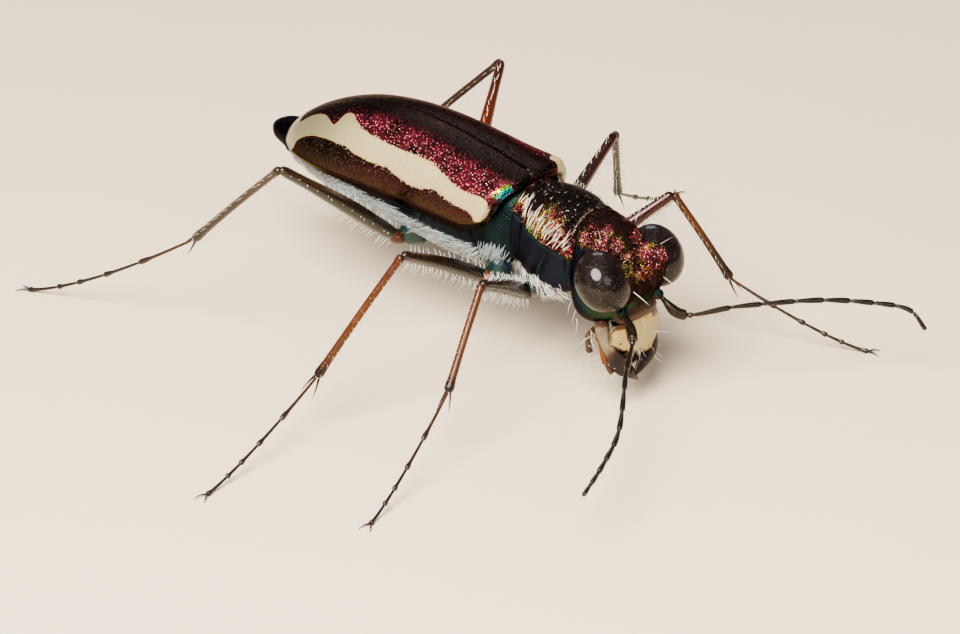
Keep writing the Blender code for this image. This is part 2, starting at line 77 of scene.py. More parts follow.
MM = 0.001
STANCE_CENTRE = np.array([-0.497, 2.248, 0.0])
BODY_HEIGHT = 3.415
HEAD_DIP = math.radians(4.2)
ALL_ROUND = 2.0 * math.pi
BAKE_PATCH = 0.003


class Axes(Enum):
    """The two sets of axes that forms are laid out in."""

    BODY = "body"
    STANCE = "stance"


class Side(Enum):
    """The beetle's own left and right."""

    LEFT = 1.0
    RIGHT = -1.0

    @property
    def word(self) -> str:
        """The side's word in the names of pieces and nodes."""
        return self.name.lower()


def seat(points: Array, axes: Axes) -> Array:
    """Moves points from their own axes to the frame.

    Args:
        points: Points in millimetres, the last axis being x, y and z.
        axes: The axes that the points are laid out in.

    Returns:
        The same points in the frame, in millimetres.
    """
    moved = np.array(points, float)
    if axes is Axes.BODY:
        run, rise = math.cos(HEAD_DIP), math.sin(HEAD_DIP)
        back, up = moved[..., 1].copy(), moved[..., 2].copy()
        moved[..., 1] = back * run - up * rise
        moved[..., 2] = back * rise + up * run + BODY_HEIGHT
    return moved - STANCE_CENTRE


def from_body(point: Sequence[float]) -> Array:
    """One point of the body axes, in stance axes."""
    return seat(np.array([point], float), Axes.BODY)[0] + STANCE_CENTRE


def ease(value: Array, low: float, high: float) -> Array:
    """A smooth step from 0 at low to 1 at high."""
    share = np.clip((np.asarray(value, float) - low) / (high - low), 0.0, 1.0)
    return share * share * (3.0 - 2.0 * share)


def bell(value: Array, middle: float, width: float) -> Array:
    """A smooth bump of height 1 at middle, width being where it has mostly gone."""
    return np.exp(-(((np.asarray(value, float) - middle) / width) ** 2))


def unit(vectors: Array) -> Array:
    """The same vectors, one long."""
    return vectors / np.maximum(np.linalg.norm(vectors, axis=-1, keepdims=True), 1e-12)


def ring_turns(count: int) -> Array:
    """Even turns round a ring, in radians."""
    return np.linspace(0, ALL_ROUND, count, endpoint=False)


def squared(wave: Array, power: float) -> Array:
    """A sine or a cosine, squared off by a power below 1."""
    return np.sign(wave) * np.abs(wave) ** power


def globe(rows: int, columns: int, tilt: float) -> Array:
    """Directions all round a ball with its poles to the left and the right.

    Args:
        rows: How many rings it has from pole to pole.
        columns: How many directions each ring has.
        tilt: How near to the poles the end rings come, in degrees.

    Returns:
        The directions, each one long.
    """
    lean = np.radians(np.linspace(-tilt, tilt, rows))[:, None]
    turn = ring_turns(columns)[None]
    return np.stack(
        [np.sin(lean) + 0 * turn, -np.cos(lean) * np.cos(turn), np.cos(lean) * np.sin(turn)], -1
    )


def heading(at: Array, out: float, back: float, up: Array | float) -> Array:
    """One direction for each point, out being to the point's own side."""
    ends = out * np.sign(at[:, 0]), np.full(len(at), back), np.full(len(at), up)
    return np.stack(ends, -1)


def through(stations: Sequence[Sequence[float]], at: Array) -> Array:
    """Reads a smooth curve that keeps between its stations.

    Args:
        stations: Rows of a rising position and one or more values.
        at: The positions to read.

    Returns:
        The values there, with one column for each value of a row.
    """
    rows = np.array(stations, float)
    x, y = rows[:, 0], rows[:, 1:]
    step = np.diff(x)[:, None]
    slope = np.diff(y, axis=0) / step
    tilt = np.zeros_like(y)
    if len(x) > 2:
        one, two = 2 * step[1:] + step[:-1], step[1:] + 2 * step[:-1]
        same = slope[:-1] * slope[1:] > 0
        safe = np.where(same, slope[:-1], 1.0), np.where(same, slope[1:], 1.0)
        tilt[1:-1] = np.where(same, (one + two) / (one / safe[0] + two / safe[1]), 0.0)
    tilt[0], tilt[-1] = slope[0], slope[-1]
    flat = np.asarray(at, float).ravel()
    i = np.clip(np.searchsorted(x, flat) - 1, 0, len(x) - 2)
    s = np.clip((flat - x[i]) / step[i, 0], 0.0, 1.0)[:, None]
    h = step[i]
    value = (
        (2 * s**3 - 3 * s**2 + 1) * y[i]
        + (s**3 - 2 * s**2 + s) * h * tilt[i]
        + (3 * s**2 - 2 * s**3) * y[i + 1]
        + (s**3 - s**2) * h * tilt[i + 1]
    )
    return value.reshape(np.shape(at) + (y.shape[1],))


def curve(points: Sequence[Sequence[float]], count: int) -> Array:
    """A smooth path through points, read at even lengths.

    Args:
        points: The points that the path passes through.
        count: How many points the result has.

    Returns:
        The points of the path, count of them.
    """
    knots = np.array(points, float)
    knots = np.vstack([2 * knots[0] - knots[1], knots, 2 * knots[-1] - knots[-2]])
    fine = []
    steps = np.linspace(0, 1, 40, endpoint=False)[:, None]
    for a, b, c, d in zip(knots, knots[1:], knots[2:], knots[3:]):
        fine.append(
            0.5 * (2 * b + (c - a) * steps + (2 * a - 5 * b + 4 * c - d) * steps**2
                   + (3 * b - a - 3 * c + d) * steps**3)
        )
    fine.append(knots[-2][None])
    path = np.concatenate(fine)
    run = np.concatenate([[0], np.cumsum(np.linalg.norm(np.diff(path, axis=0), axis=1))])
    even = np.linspace(0, run[-1], count)
    return np.stack([np.interp(even, run, path[:, k]) for k in range(3)], -1)


@dataclass
class Form:
    """The faces of one piece, in its own axes."""

    points: Array
    quads: Array
    tris: Array
    marks: dict[str, Array] = field(default_factory=dict)
    chart: Array | None = None

    def faced_out(self) -> "Form":
        """The same form with its faces turned outwards."""
        tris = np.concatenate([self.tris, self.quads[:, [0, 1, 2]], self.quads[:, [0, 2, 3]]])
        a, b, c = (self.points[tris[:, k]] for k in range(3))
        if np.einsum("ij,ij->i", a, np.cross(b, c)).sum() < 0:
            self.quads, self.tris = self.quads[:, ::-1], self.tris[:, ::-1]
        return self

    def on(self, side: Side) -> "Form":
        """A form that is laid out for the left, set on one side of the body."""
        self.points[:, 0] *= side.value
        self.marks["at"] = self.points
        return self.faced_out()

    @staticmethod
    def joined(forms: Sequence["Form"]) -> "Form":
        """Several forms as one.

        Args:
            forms: Forms that hold the same marks.

        Returns:
            One form with the points and the faces of them all.
        """
        starts = np.cumsum([0] + [len(f.points) for f in forms[:-1]])
        names = forms[0].marks
        return Form(
            np.concatenate([f.points for f in forms]),
            np.concatenate([f.quads + s for f, s in zip(forms, starts)]),
            np.concatenate([f.tris + s for f, s in zip(forms, starts)]),
            {n: np.concatenate([f.marks[n] for f in forms]) for n in names},
            None if forms[0].chart is None else np.concatenate([f.chart for f in forms]),
        )


@dataclass
class Sheet:
    """A skin as a grid of points: rows along it, each row a closed ring."""

    grid: Array
    marks: dict[str, Array] = field(default_factory=dict)

    def normals(self) -> Array:
        """Unit normals that point out of the skin."""
        along = np.gradient(self.grid, axis=0)
        around = np.roll(self.grid, -1, 1) - np.roll(self.grid, 1, 1)
        out = unit(np.cross(around, along))
        outward = self.grid - self.grid.mean(axis=1, keepdims=True)
        return out if (out * outward).sum() > 0 else -out

    def relief(self, height: Array) -> "Sheet":
        """The skin with each point moved out by its height."""
        return Sheet(self.grid + self.normals() * height[..., None], self.marks)

    def read(self, values: Array, u: Array, v: Array) -> Array:
        """Reads a grid of values between its points.

        Args:
            values: A value, or a vector, for each point of the skin.
            u: Shares of the way along the rows.
            v: Shares of the way round the rings.

        Returns:
            The values at those places.
        """
        rows, cols = self.grid.shape[:2]
        r, c = np.clip(u, 0, 1) * (rows - 1), (v % 1.0) * cols
        r0, c0 = np.minimum(r.astype(int), rows - 2), c.astype(int) % cols
        c1 = (c0 + 1) % cols
        fr, fc = (r - r0)[:, None], (c - np.floor(c))[:, None]
        near = values[r0, c0] * (1 - fc) + values[r0, c1] * fc
        far = values[r0 + 1, c0] * (1 - fc) + values[r0 + 1, c1] * fc
        return near * (1 - fr) + far * fr

    def form(self) -> Form:
        """The skin as faces, with both ends closed."""
        rows, cols = self.grid.shape[:2]
        index = np.arange(rows * cols).reshape(rows, cols)
        a, b = index[:-1], index[1:]
        quads = np.stack([a, np.roll(a, -1, 1), np.roll(b, -1, 1), b], -1).reshape(-1, 4)
        first, last = rows * cols, rows * cols + 1
        start = np.stack([np.full(cols, first), np.roll(index[0], -1), index[0]], -1)
        end = np.stack([np.full(cols, last), index[-1], np.roll(index[-1], -1)], -1)
        marks = {"at": self.grid, **self.marks}
        spread = {}
        for name, values in marks.items():
            tail = values.shape[2:]
            ends = np.stack([values[0].mean(0), values[-1].mean(0)])
            spread[name] = np.concatenate([values.reshape((-1,) + tail), ends])
        points = np.concatenate(
            [self.grid.reshape(-1, 3), self.grid[0].mean(0)[None], self.grid[-1].mean(0)[None]]
        )
        return Form(points, quads, np.concatenate([start, end]), spread).faced_out()


def swept(path: Array, wide: Array, deep: Array, sides: int, up: Point = (0, 0, 1)) -> Sheet:
    """A skin of oval rings along a path.

    Args:
        path: The middle of each ring.
        wide: Each ring's half width across the path and level with it.
        deep: Each ring's half depth in the plane of the path and up.
        sides: The points of a ring.
        up: The direction that depth is measured nearest to.

    Returns:
        The skin, marked with the share of the way along.
    """
    ways = unit(np.gradient(path, axis=0))
    over = np.zeros_like(path)
    last = np.array(up, float)
    for i, way in enumerate(ways):
        last = last - way * (last @ way)
        last = last / np.linalg.norm(last)
        over[i] = last
    across = np.cross(ways, over)
    turn = ring_turns(sides)
    grid = (
        path[:, None]
        + over[:, None] * (np.asarray(deep)[:, None] * np.cos(turn))[..., None]
        + across[:, None] * (np.asarray(wide)[:, None] * np.sin(turn))[..., None]
    )
    even = np.ones((len(path), sides))
    reach = np.linspace(0, 1, len(path))[:, None] * even
    return Sheet(grid, {"reach": reach, "below": (1 - np.cos(turn)) / 2 * even})


def rounded(radii: Array, share: float = 0.03) -> Array:
    """Radii that close to a round end at both ends of a path."""
    at = np.linspace(0, 1, len(radii))
    closing = np.clip(np.minimum(at, 1 - at) / share, 0, 1)
    return radii * np.sqrt(np.maximum(1 - (1 - closing) ** 2, 1e-4))


def girths(stations: Sequence[Sequence[float]], count: int, share: float) -> Array:
    """Radii read evenly between their stations, with round ends."""
    return rounded(through(stations, np.linspace(0, 1, count))[:, 0], share)


def gleam(spots: Sequence[tuple[Point, float]], grid: Array) -> Array:
    """How far points are within painted highlight spots, which are the same on both sides.

    Args:
        spots: The middle and the reach of each spot on the left.
        grid: The points.

    Returns:
        A share for each point.
    """
    total = np.zeros(grid.shape[:-1])
    for place, reach in spots:
        x, y, z = np.abs(grid[..., 0]), grid[..., 1], grid[..., 2]
        away = np.sqrt((x - place[0]) ** 2 + (y - place[1]) ** 2 + (z - place[2]) ** 2)
        total = np.maximum(total, bell(away, 0, reach))
    return total


@dataclass(frozen=True)
class Lump:
    """A rounded mass, a ball drawn out to three radii and squared by its power."""

    centre: Point
    radii: Point
    power: float = 2.0

    def depth(self, at: Array) -> Array:
        """How far points are outside the mass, negative inside it."""
        q = np.abs((at - np.array(self.centre)) / np.array(self.radii))
        return ((q**self.power).sum(-1) ** (1 / self.power) - 1) * min(self.radii)

    def mirrored(self) -> "Lump":
        """The same mass on the other side of the body."""
        x, y, z = self.centre
        return Lump((-x, y, z), self.radii, self.power)


def melt(a: Array, b: Array, reach: float) -> Array:
    """Two masses run together over a reach."""
    share = np.clip(0.5 + 0.5 * (b - a) / reach, 0, 1)
    return b + (a - b) * share - reach * share * (1 - share)


def scoop(a: Array, b: Array, reach: float) -> Array:
    """Mass a with mass b taken out of it, and the edge softened."""
    return -melt(-a, b, reach)


def cast(field_of: Field, start: Array, way: Array, far: float) -> Array:
    """Finds where rays that start inside a mass leave it.

    Args:
        field_of: Gives how far points are outside the mass.
        start: Where each ray starts.
        way: Each ray's direction, one long.
        far: A distance that is outside the mass on every ray.

    Returns:
        The points where the rays leave the mass.
    """
    low = np.zeros(way.shape[:-1])
    high = np.full(way.shape[:-1], far)
    for _ in range(26):
        middle = (low + high) / 2
        inside = field_of(start + way * middle[..., None]) < 0
        low, high = np.where(inside, middle, low), np.where(inside, high, middle)
    return start + way * ((low + high) / 2)[..., None]


# Shader wiring


class Wiring:
    """Adds and joins the nodes of one material or node group."""

    def __init__(self, tree: bpy.types.NodeTree) -> None:
        """Takes the tree that the nodes go in."""
        self.tree = tree

    def node(self, kind: str, inputs: dict | None = None, **settings: object) -> bpy.types.Node:
        """Adds a node.

        Args:
            kind: The node's type.
            inputs: Values or outputs for its inputs, by name or number.
            **settings: The node's own settings.

        Returns:
            The new node.
        """
        made = self.tree.nodes.new(kind)
        for name, value in settings.items():
            setattr(made, name, value)
        for key, value in (inputs or {}).items():
            self.feed(made.inputs[key], value)
        return made

    def feed(self, socket: bpy.types.NodeSocket, value: object) -> None:
        """Joins an output to an input, or sets the input to a value.

        Args:
            socket: The input.
            value: The output or the value.
        """
        if isinstance(value, bpy.types.NodeSocket):
            self.tree.links.new(value, socket)
        elif socket.type == "RGBA" and len(value) == 3:
            socket.default_value = (*value, 1.0)
        else:
            socket.default_value = value

    def level(self, mark: str) -> bpy.types.NodeSocket:
        """The number that a mark of the mesh holds."""
        return self.node("ShaderNodeAttribute", attribute_name=mark).outputs["Fac"]

    def place(self) -> bpy.types.NodeSocket:
        """The place on the body, in millimetres."""
        return self.node("ShaderNodeAttribute", attribute_name="at").outputs["Vector"]

    def axis(self, vector: bpy.types.NodeSocket, which: str) -> bpy.types.NodeSocket:
        """One of the three numbers of a vector."""
        return self.node("ShaderNodeSeparateXYZ", {0: vector}).outputs[which]

    def math(self, how: str, first: object, second: object = 0.0, third: object = 0.0) -> object:
        """One step of arithmetic on numbers."""
        step = self.node("ShaderNodeMath", {0: first, 1: second, 2: third}, operation=how)
        return step.outputs[0]

    def times(self, first: object, second: object) -> object:
        """One number times another."""
        return self.math("MULTIPLY", first, second)

    def times_plus(self, first: object, second: object, third: object) -> object:
        """One number times another, and a third added."""
        return self.math("MULTIPLY_ADD", first, second, third)

    def rest(self, share: object) -> object:
        """What a share leaves of 1."""
        return self.math("SUBTRACT", 1.0, share)

    def stirred(self, value: object, cloud: object, by: float) -> object:
        """A value moved up and down by a cloudy one about one half."""
        return self.times_plus(self.math("SUBTRACT", cloud, 0.5), by, value)

    def span(self, value: object, low: float, high: float) -> object:
        """A smooth step from 0, at low, to 1, at high.

        Args:
            value: The number that is stepped.
            low: Where the step starts.
            high: Where it ends; it may be below its start.

        Returns:
            The step's output.
        """
        step = self.node(
            "ShaderNodeMapRange", {"Value": value, "From Min": low, "From Max": high},
            interpolation_type="SMOOTHSTEP",
        )
        return step.outputs["Result"]

    def mix(self, share: object, first: object, second: object) -> object:
        """Two colours mixed.

        Args:
            share: The share of the second, from 0 to 1.
            first: The first colour.
            second: The second colour.

        Returns:
            The mixed colour's output.
        """
        step = self.node("ShaderNodeMix", data_type="RGBA")
        for socket, value in (
            (step.inputs[0], share), (step.inputs[6], first), (step.inputs[7], second)
        ):
            self.feed(socket, value)
        return step.outputs[2]

    def between(self, share: object, first: object, second: object) -> object:
        """Two numbers mixed.

        Args:
            share: The share of the second, from 0 to 1.
            first: The first number.
            second: The second number.

        Returns:
            The mixed number's output.
        """
        step = self.node("ShaderNodeMix", data_type="FLOAT")
        for socket, value in zip(step.inputs[:4], (share, None, first, second)):
            if value is not None:
                self.feed(socket, value)
        return step.outputs[0]

    def ramp(self, value: object, stops: Sequence[tuple[float, Tint]]) -> object:
        """A colour from a ramp.

        Args:
            value: Where on the ramp to read, from 0 to 1.
            stops: The ramp's positions and colours.

        Returns:
            The colour output.
        """
        step = self.node("ShaderNodeValToRGB", {0: value})
        marks = step.color_ramp.elements
        while len(marks) < len(stops):
            marks.new(0.5)
        for mark, (at, tint) in zip(marks, stops):
            mark.position = at
            mark.color = (*tint, 1.0)
        return step.outputs["Color"]

    def noise(
        self, place: object, scale: object, detail: float = 2.0, rough: float = 0.5
    ) -> object:
        """A cloudy value about one half.

        Args:
            place: Where it is read.
            scale: How many clouds a millimetre has.
            detail: How many finer layers it has.
            rough: How strong they are.

        Returns:
            The value's output.
        """
        step = self.node(
            "ShaderNodeTexNoise",
            {"Vector": place, "Scale": scale, "Detail": detail, "Roughness": rough},
        )
        return step.outputs["Fac"]

    def swayed(self, place: object, scale: float, detail: float, by: object) -> object:
        """A place that is moved about by a cloudy noise.

        Args:
            place: The place.
            scale: How many clouds a millimetre has.
            detail: How many finer layers they have.
            by: How far it is moved, in millimetres.

        Returns:
            The moved place's output.
        """
        sway = self.node("ShaderNodeTexNoise", {"Vector": place, "Scale": scale, "Detail": detail})
        pull = self.node(
            "ShaderNodeVectorMath", {0: sway.outputs["Color"], "Scale": by}, operation="SCALE"
        )
        moved = self.node("ShaderNodeVectorMath", {0: place, 1: pull.outputs[0]}, operation="ADD")
        return moved.outputs[0]

    def group(self, tree: bpy.types.NodeTree, **inputs: object) -> Outlets:
        """Places an effect with its own values, and gives its outputs.

        Args:
            tree: The effect's node group.
            **inputs: Values or outputs for its inputs, by name.

        Returns:
            Its outputs.
        """
        made = self.node("ShaderNodeGroup", node_tree=tree)
        for name, value in inputs.items():
            self.feed(made.inputs[name], value)
        return made.outputs

    def bump(self, height: object, rise: float, strength: float) -> object:
        """A normal bent by a height.

        Args:
            height: The height.
            rise: How far a height of 1 rises, in millimetres.
            strength: The share of the bend that is kept.

        Returns:
            The normal's output.
        """
        step = self.node(
            "ShaderNodeBump", {"Height": height, "Distance": rise * MM, "Strength": strength}
        )
        return step.outputs["Normal"]


class Effects:
    """The node groups that several finishes share, each built once."""

    @staticmethod
    def shared(name: str, inputs: dict[str, float | None], fill: Filling) -> bpy.types.NodeTree:
        """Finds a group, or builds it the first time that it is asked for.

        Args:
            name: The group's name.
            inputs: Its inputs, each with its usual value, or None for a vector.
            fill: Adds its nodes, and returns the number that goes to each output.

        Returns:
            The group.
        """
        found = bpy.data.node_groups.get(name)
        if found:
            return found
        tree = bpy.data.node_groups.new(name, "ShaderNodeTree")
        for label, value in inputs.items():
            kind = "NodeSocketVector" if value is None else "NodeSocketFloat"
            socket = tree.interface.new_socket(name=label, in_out="INPUT", socket_type=kind)
            if value is not None:
                socket.default_value = value
        wiring = Wiring(tree)
        results = fill(wiring, wiring.node("NodeGroupInput").outputs)
        for label in results:
            tree.interface.new_socket(name=label, in_out="OUTPUT", socket_type="NodeSocketFloat")
        end = wiring.node("NodeGroupOutput")
        for label, value in results.items():
            wiring.feed(end.inputs[label], value)
        return tree

    @classmethod
    def punctures(cls) -> bpy.types.NodeTree:
        """Small round pits, as on the wing cases: their height, mask and a lot for each."""

        def fill(w: Wiring, given: Outlets) -> dict[str, object]:
            """Cells in uneven rows, each sunk about its middle."""
            moved = w.swayed(given["Place"], 5.0, 1.0, 0.06)
            cells = w.node(
                "ShaderNodeTexVoronoi",
                {"Vector": moved, "Scale": given["Pitch"], "Randomness": 0.8},
            )
            depth = w.node(
                "ShaderNodeMapRange",
                {"Value": cells.outputs["Distance"], "From Min": 0.1, "From Max": given["Reach"]},
                interpolation_type="SMOOTHERSTEP",
            ).outputs["Result"]
            lot = w.axis(cells.outputs["Color"], "X")
            return {"Height": depth, "Pit": w.rest(depth), "Lot": lot}

        return cls.shared("punctures", {"Place": None, "Pitch": 15.0, "Reach": 0.45}, fill)

    @classmethod
    def wrinkles(cls) -> bpy.types.NodeTree:
        """Crowded winding wrinkles, as on the neck shield: their height and a lot for each."""

        def fill(w: Wiring, given: Outlets) -> dict[str, object]:
            """Crests that fall away to the edges of bent cells."""
            moved = w.swayed(given["Place"], 9.0, 2.0, given["Sway"])
            bent = {"Vector": moved, "Scale": given["Pitch"]}
            cells = w.node("ShaderNodeTexVoronoi", bent)
            edges = w.node("ShaderNodeTexVoronoi", bent, feature="DISTANCE_TO_EDGE")
            crest = w.span(edges.outputs["Distance"], 0.0, 0.32)
            height = w.times_plus(w.noise(given["Place"], 46.0, 2.0), 0.25, crest)
            return {"Height": height, "Lot": w.axis(cells.outputs["Color"], "X")}

        return cls.shared("wrinkles", {"Place": None, "Pitch": 12.0, "Sway": 0.08}, fill)

    @classmethod
    def drift(cls) -> bpy.types.NodeTree:
        """A hue that drifts over the body and jumps a little from one facet to the next."""

        def fill(w: Wiring, given: Outlets) -> dict[str, object]:
            """A cloudy hue, kept from 0 to 1."""
            cloud = w.span(w.noise(given["Place"], given["Patch"], 3.0, 0.55), 0.32, 0.68)
            spread = w.times(w.math("SUBTRACT", given["Lot"], 0.5), given["Jump"])
            total = w.math("ADD", w.math("ADD", cloud, spread), given["Lean"])
            return {"Hue": w.math("MINIMUM", w.math("MAXIMUM", total, 0.0), 1.0)}

        usual = {"Place": None, "Patch": 1.6, "Lot": 0.5, "Jump": 0.5, "Lean": 0.0}
        return cls.shared("drift", usual, fill)

    @classmethod
    def grain(cls) -> bpy.types.NodeTree:
        """The fine grain of bare cuticle: a height, and a haze that varies its gloss."""

        def fill(w: Wiring, given: Outlets) -> dict[str, object]:
            """A fine noise, and a broad one."""
            haze = w.span(w.noise(given["Place"], 3.5, 4.0, 0.6), 0.3, 0.72)
            return {"Height": w.noise(given["Place"], given["Pitch"], 3.0, 0.6), "Haze": haze}

        return cls.shared("grain", {"Place": None, "Pitch": 40.0}, fill)


class Finish(ABC):
    """A finish that is made into one material."""

    name: str

    def material(self) -> bpy.types.Material:
        """The finish as a material, made the first time it is asked for."""
        found = bpy.data.materials.get(self.name)
        if found:
            return found
        made = bpy.data.materials.new(self.name)
        made.use_nodes = True
        made.node_tree.nodes.clear()
        wiring = Wiring(made.node_tree)
        shader = wiring.node("ShaderNodeBsdfPrincipled")
        end = wiring.node("ShaderNodeOutputMaterial")
        wiring.tree.links.new(shader.outputs["BSDF"], end.inputs["Surface"])
        for socket, value in self.dress(wiring).items():
            wiring.feed(shader.inputs[socket], value)
        return made

    @abstractmethod
    def dress(self, w: Wiring) -> dict[str, object]:
        """What goes into each input of the shader, by the input's name.

        Args:
            w: Adds the material's nodes.

        Returns:
            A value or an output for each input.
        """


@dataclass(frozen=True)
class CaseFinish(Finish):
    """Black-maroon with a bright point painted in each pit as a highlight, an ivory stripe and a
    brown edge.
    """

    name: str = "wing_case_maroon_and_ivory"
    pitch: float = 15.0
    ground: Tint = (0.046, 0.024, 0.021)
    # Painted shade: the top of the cases, along the seam, is darker than their sides.
    dorsal_shade: Tint = (0.028, 0.022, 0.019)
    # A painted sheen on the ground between the pits, where the light catches the case.
    glow: Tint = (0.280, 0.046, 0.066)
    # Painted highlights in the pits, from dark crimson to white-pink.
    pit_highlights: tuple = (
        (0.0, (0.26, 0.022, 0.038)),
        (0.30, (0.55, 0.040, 0.080)),
        (0.56, (0.90, 0.100, 0.170)),
        (0.76, (1.0, 0.250, 0.330)),
        (0.90, (1.0, 0.700, 0.690)),
        (1.0, (1.0, 0.360, 0.140)),
    )
    ivory: Tint = (0.46, 0.390, 0.220)
    ivory_shade: Tint = (0.37, 0.30, 0.145)
    edge_brown: Tint = (0.060, 0.036, 0.024)
    hem: Tint = (0.21, 0.18, 0.105)
    rear_brown: Tint = (0.034, 0.025, 0.017)
    bead_black: Tint = (0.012, 0.007, 0.007)
    knob_grey: Tint = (0.17, 0.14, 0.145)
    ivory_pit: Tint = (0.27, 0.185, 0.07)
    ivory_rear: Tint = (0.135, 0.120, 0.075)
    ivory_rim: Tint = (0.34, 0.20, 0.06)
    # A painted reflection: the gold, green and blue glint on the front lip of the right case.
    glint: tuple = (
        (0.0, (0.95, 0.42, 0.03)),
        (0.22, (0.85, 0.80, 0.04)),
        (0.48, (0.12, 0.90, 0.10)),
        (0.76, (0.04, 0.75, 0.55)),
        (1.0, (0.02, 0.30, 0.45)),
    )

    def dress(self, w: Wiring) -> dict[str, object]:
        """What goes into each input of the shader, by the input's name.

        Args:
            w: Adds the material's nodes.

        Returns:
            A value or an output for each input.
        """
        place = w.place()
        girth = w.level("girth")
        length = w.axis(place, "Y")
        # Where highlights are painted: bright points in the pits and a sheen between them.
        highlit_zone = w.level("spark")
        pits = w.group(Effects.punctures(), Place=place, Pitch=self.pitch, Reach=0.50)
        grain = w.group(Effects.grain(), Place=place, Pitch=55.0)
        cloud = w.span(w.noise(place, 1.3, 3.0), 0.30, 0.66)
        lot = w.times_plus(pits["Lot"], 0.60, w.times(highlit_zone, 0.40))
        sheen_share = w.times(highlit_zone, w.between(cloud, 0.60, 1.0))
        drawn = w.times(w.span(pits["Pit"], 0.15, 0.70), w.span(lot, 0.04, 0.30))
        # Painted shade: darker towards the seam on top.
        ground = w.mix(w.span(girth, 0.12, 0.42), self.dorsal_shade, self.ground)
        # Painted sheen brightens the ground where highlights fall.
        ground = w.mix(w.times(sheen_share, w.span(cloud, 0.0, 0.7)), ground, self.glow)
        metal = w.mix(w.times(drawn, sheen_share), ground, w.ramp(lot, self.pit_highlights))
        low = w.span(w.times_plus(w.noise(place, 4.0), 0.07, girth), 0.91, 0.97)
        late = w.span(length, 5.6, 4.2)
        dull = w.times(w.span(length, 3.6, 5.0), w.span(girth, 0.62, 0.70))
        metal = w.mix(dull, metal, self.rear_brown)
        metal = w.mix(w.times(low, late), metal, self.edge_brown)
        rear = w.times(w.span(length, 4.4, 5.6), w.span(girth, 0.945, 0.985))
        metal = w.mix(rear, metal, self.hem)
        bead = w.span(girth, 0.962, 0.974)
        metal = w.mix(w.times(bead, late), metal, self.bead_black)
        flecks = w.times_plus(w.noise(place, 16.0, 2.0), 0.5, w.times(w.noise(place, 6.0), 0.5))
        # Painted reflection: the glint on the right case's front lip.
        spot = w.times(w.level("glint"), w.span(flecks, 0.46, 0.52))
        run = w.stirred(w.level("glint_run"), w.noise(place, 9.0), 1.0)
        metal = w.mix(spot, metal, w.ramp(run, self.glint))
        metal = w.mix(w.level("knob"), metal, self.knob_grey)
        teeth = w.level("ragged")
        ragged = w.times(w.math("SUBTRACT", w.noise(place, 12.0, 2.0), 0.5), 0.10)
        bitten = w.times(w.math("SUBTRACT", pits["Pit"], 0.45), 0.060)
        edge = w.times_plus(w.math("ADD", ragged, bitten), teeth, w.level("stripe"))
        pale = w.span(edge, -0.016, 0.018)
        dots = w.group(Effects.punctures(), Place=place, Pitch=14.0, Reach=0.40)["Pit"]
        ivory = w.mix(w.noise(place, 2.4, 3.0), self.ivory, self.ivory_shade)
        ivory = w.mix(w.times(dots, w.between(teeth, 0.15, 0.50)), ivory, self.ivory_pit)
        ivory = w.mix(w.times(w.span(length, 3.6, 5.6), 0.80), ivory, self.ivory_rear)
        rim = w.times(w.span(edge, 0.075, 0.0), 0.55)
        ivory = w.mix(rim, ivory, self.ivory_rim)
        plain = w.rest(pale)
        smooth = w.math("MAXIMUM", w.math("MAXIMUM", low, spot), bead)
        rise = w.times(pits["Height"], w.between(smooth, 1.0, 0.25))
        height = w.between(pale, rise, w.times(w.rest(dots), 0.30))
        height = w.times_plus(grain["Height"], 0.08, height)
        gloss = w.between(smooth, w.between(grain["Haze"], 0.24, 0.34), 0.20)
        return {
            "Base Color": w.mix(pale, metal, ivory),
            "Metallic": w.times(plain, 0.90),
            "Roughness": w.between(pale, gloss, 0.34),
            "Specular Tint": (0.45, 0.36, 0.36),
            "Coat Weight": w.times(pale, 0.5),
            "Coat Roughness": 0.16,
            "Normal": w.bump(height, 0.022, 0.9),
        }


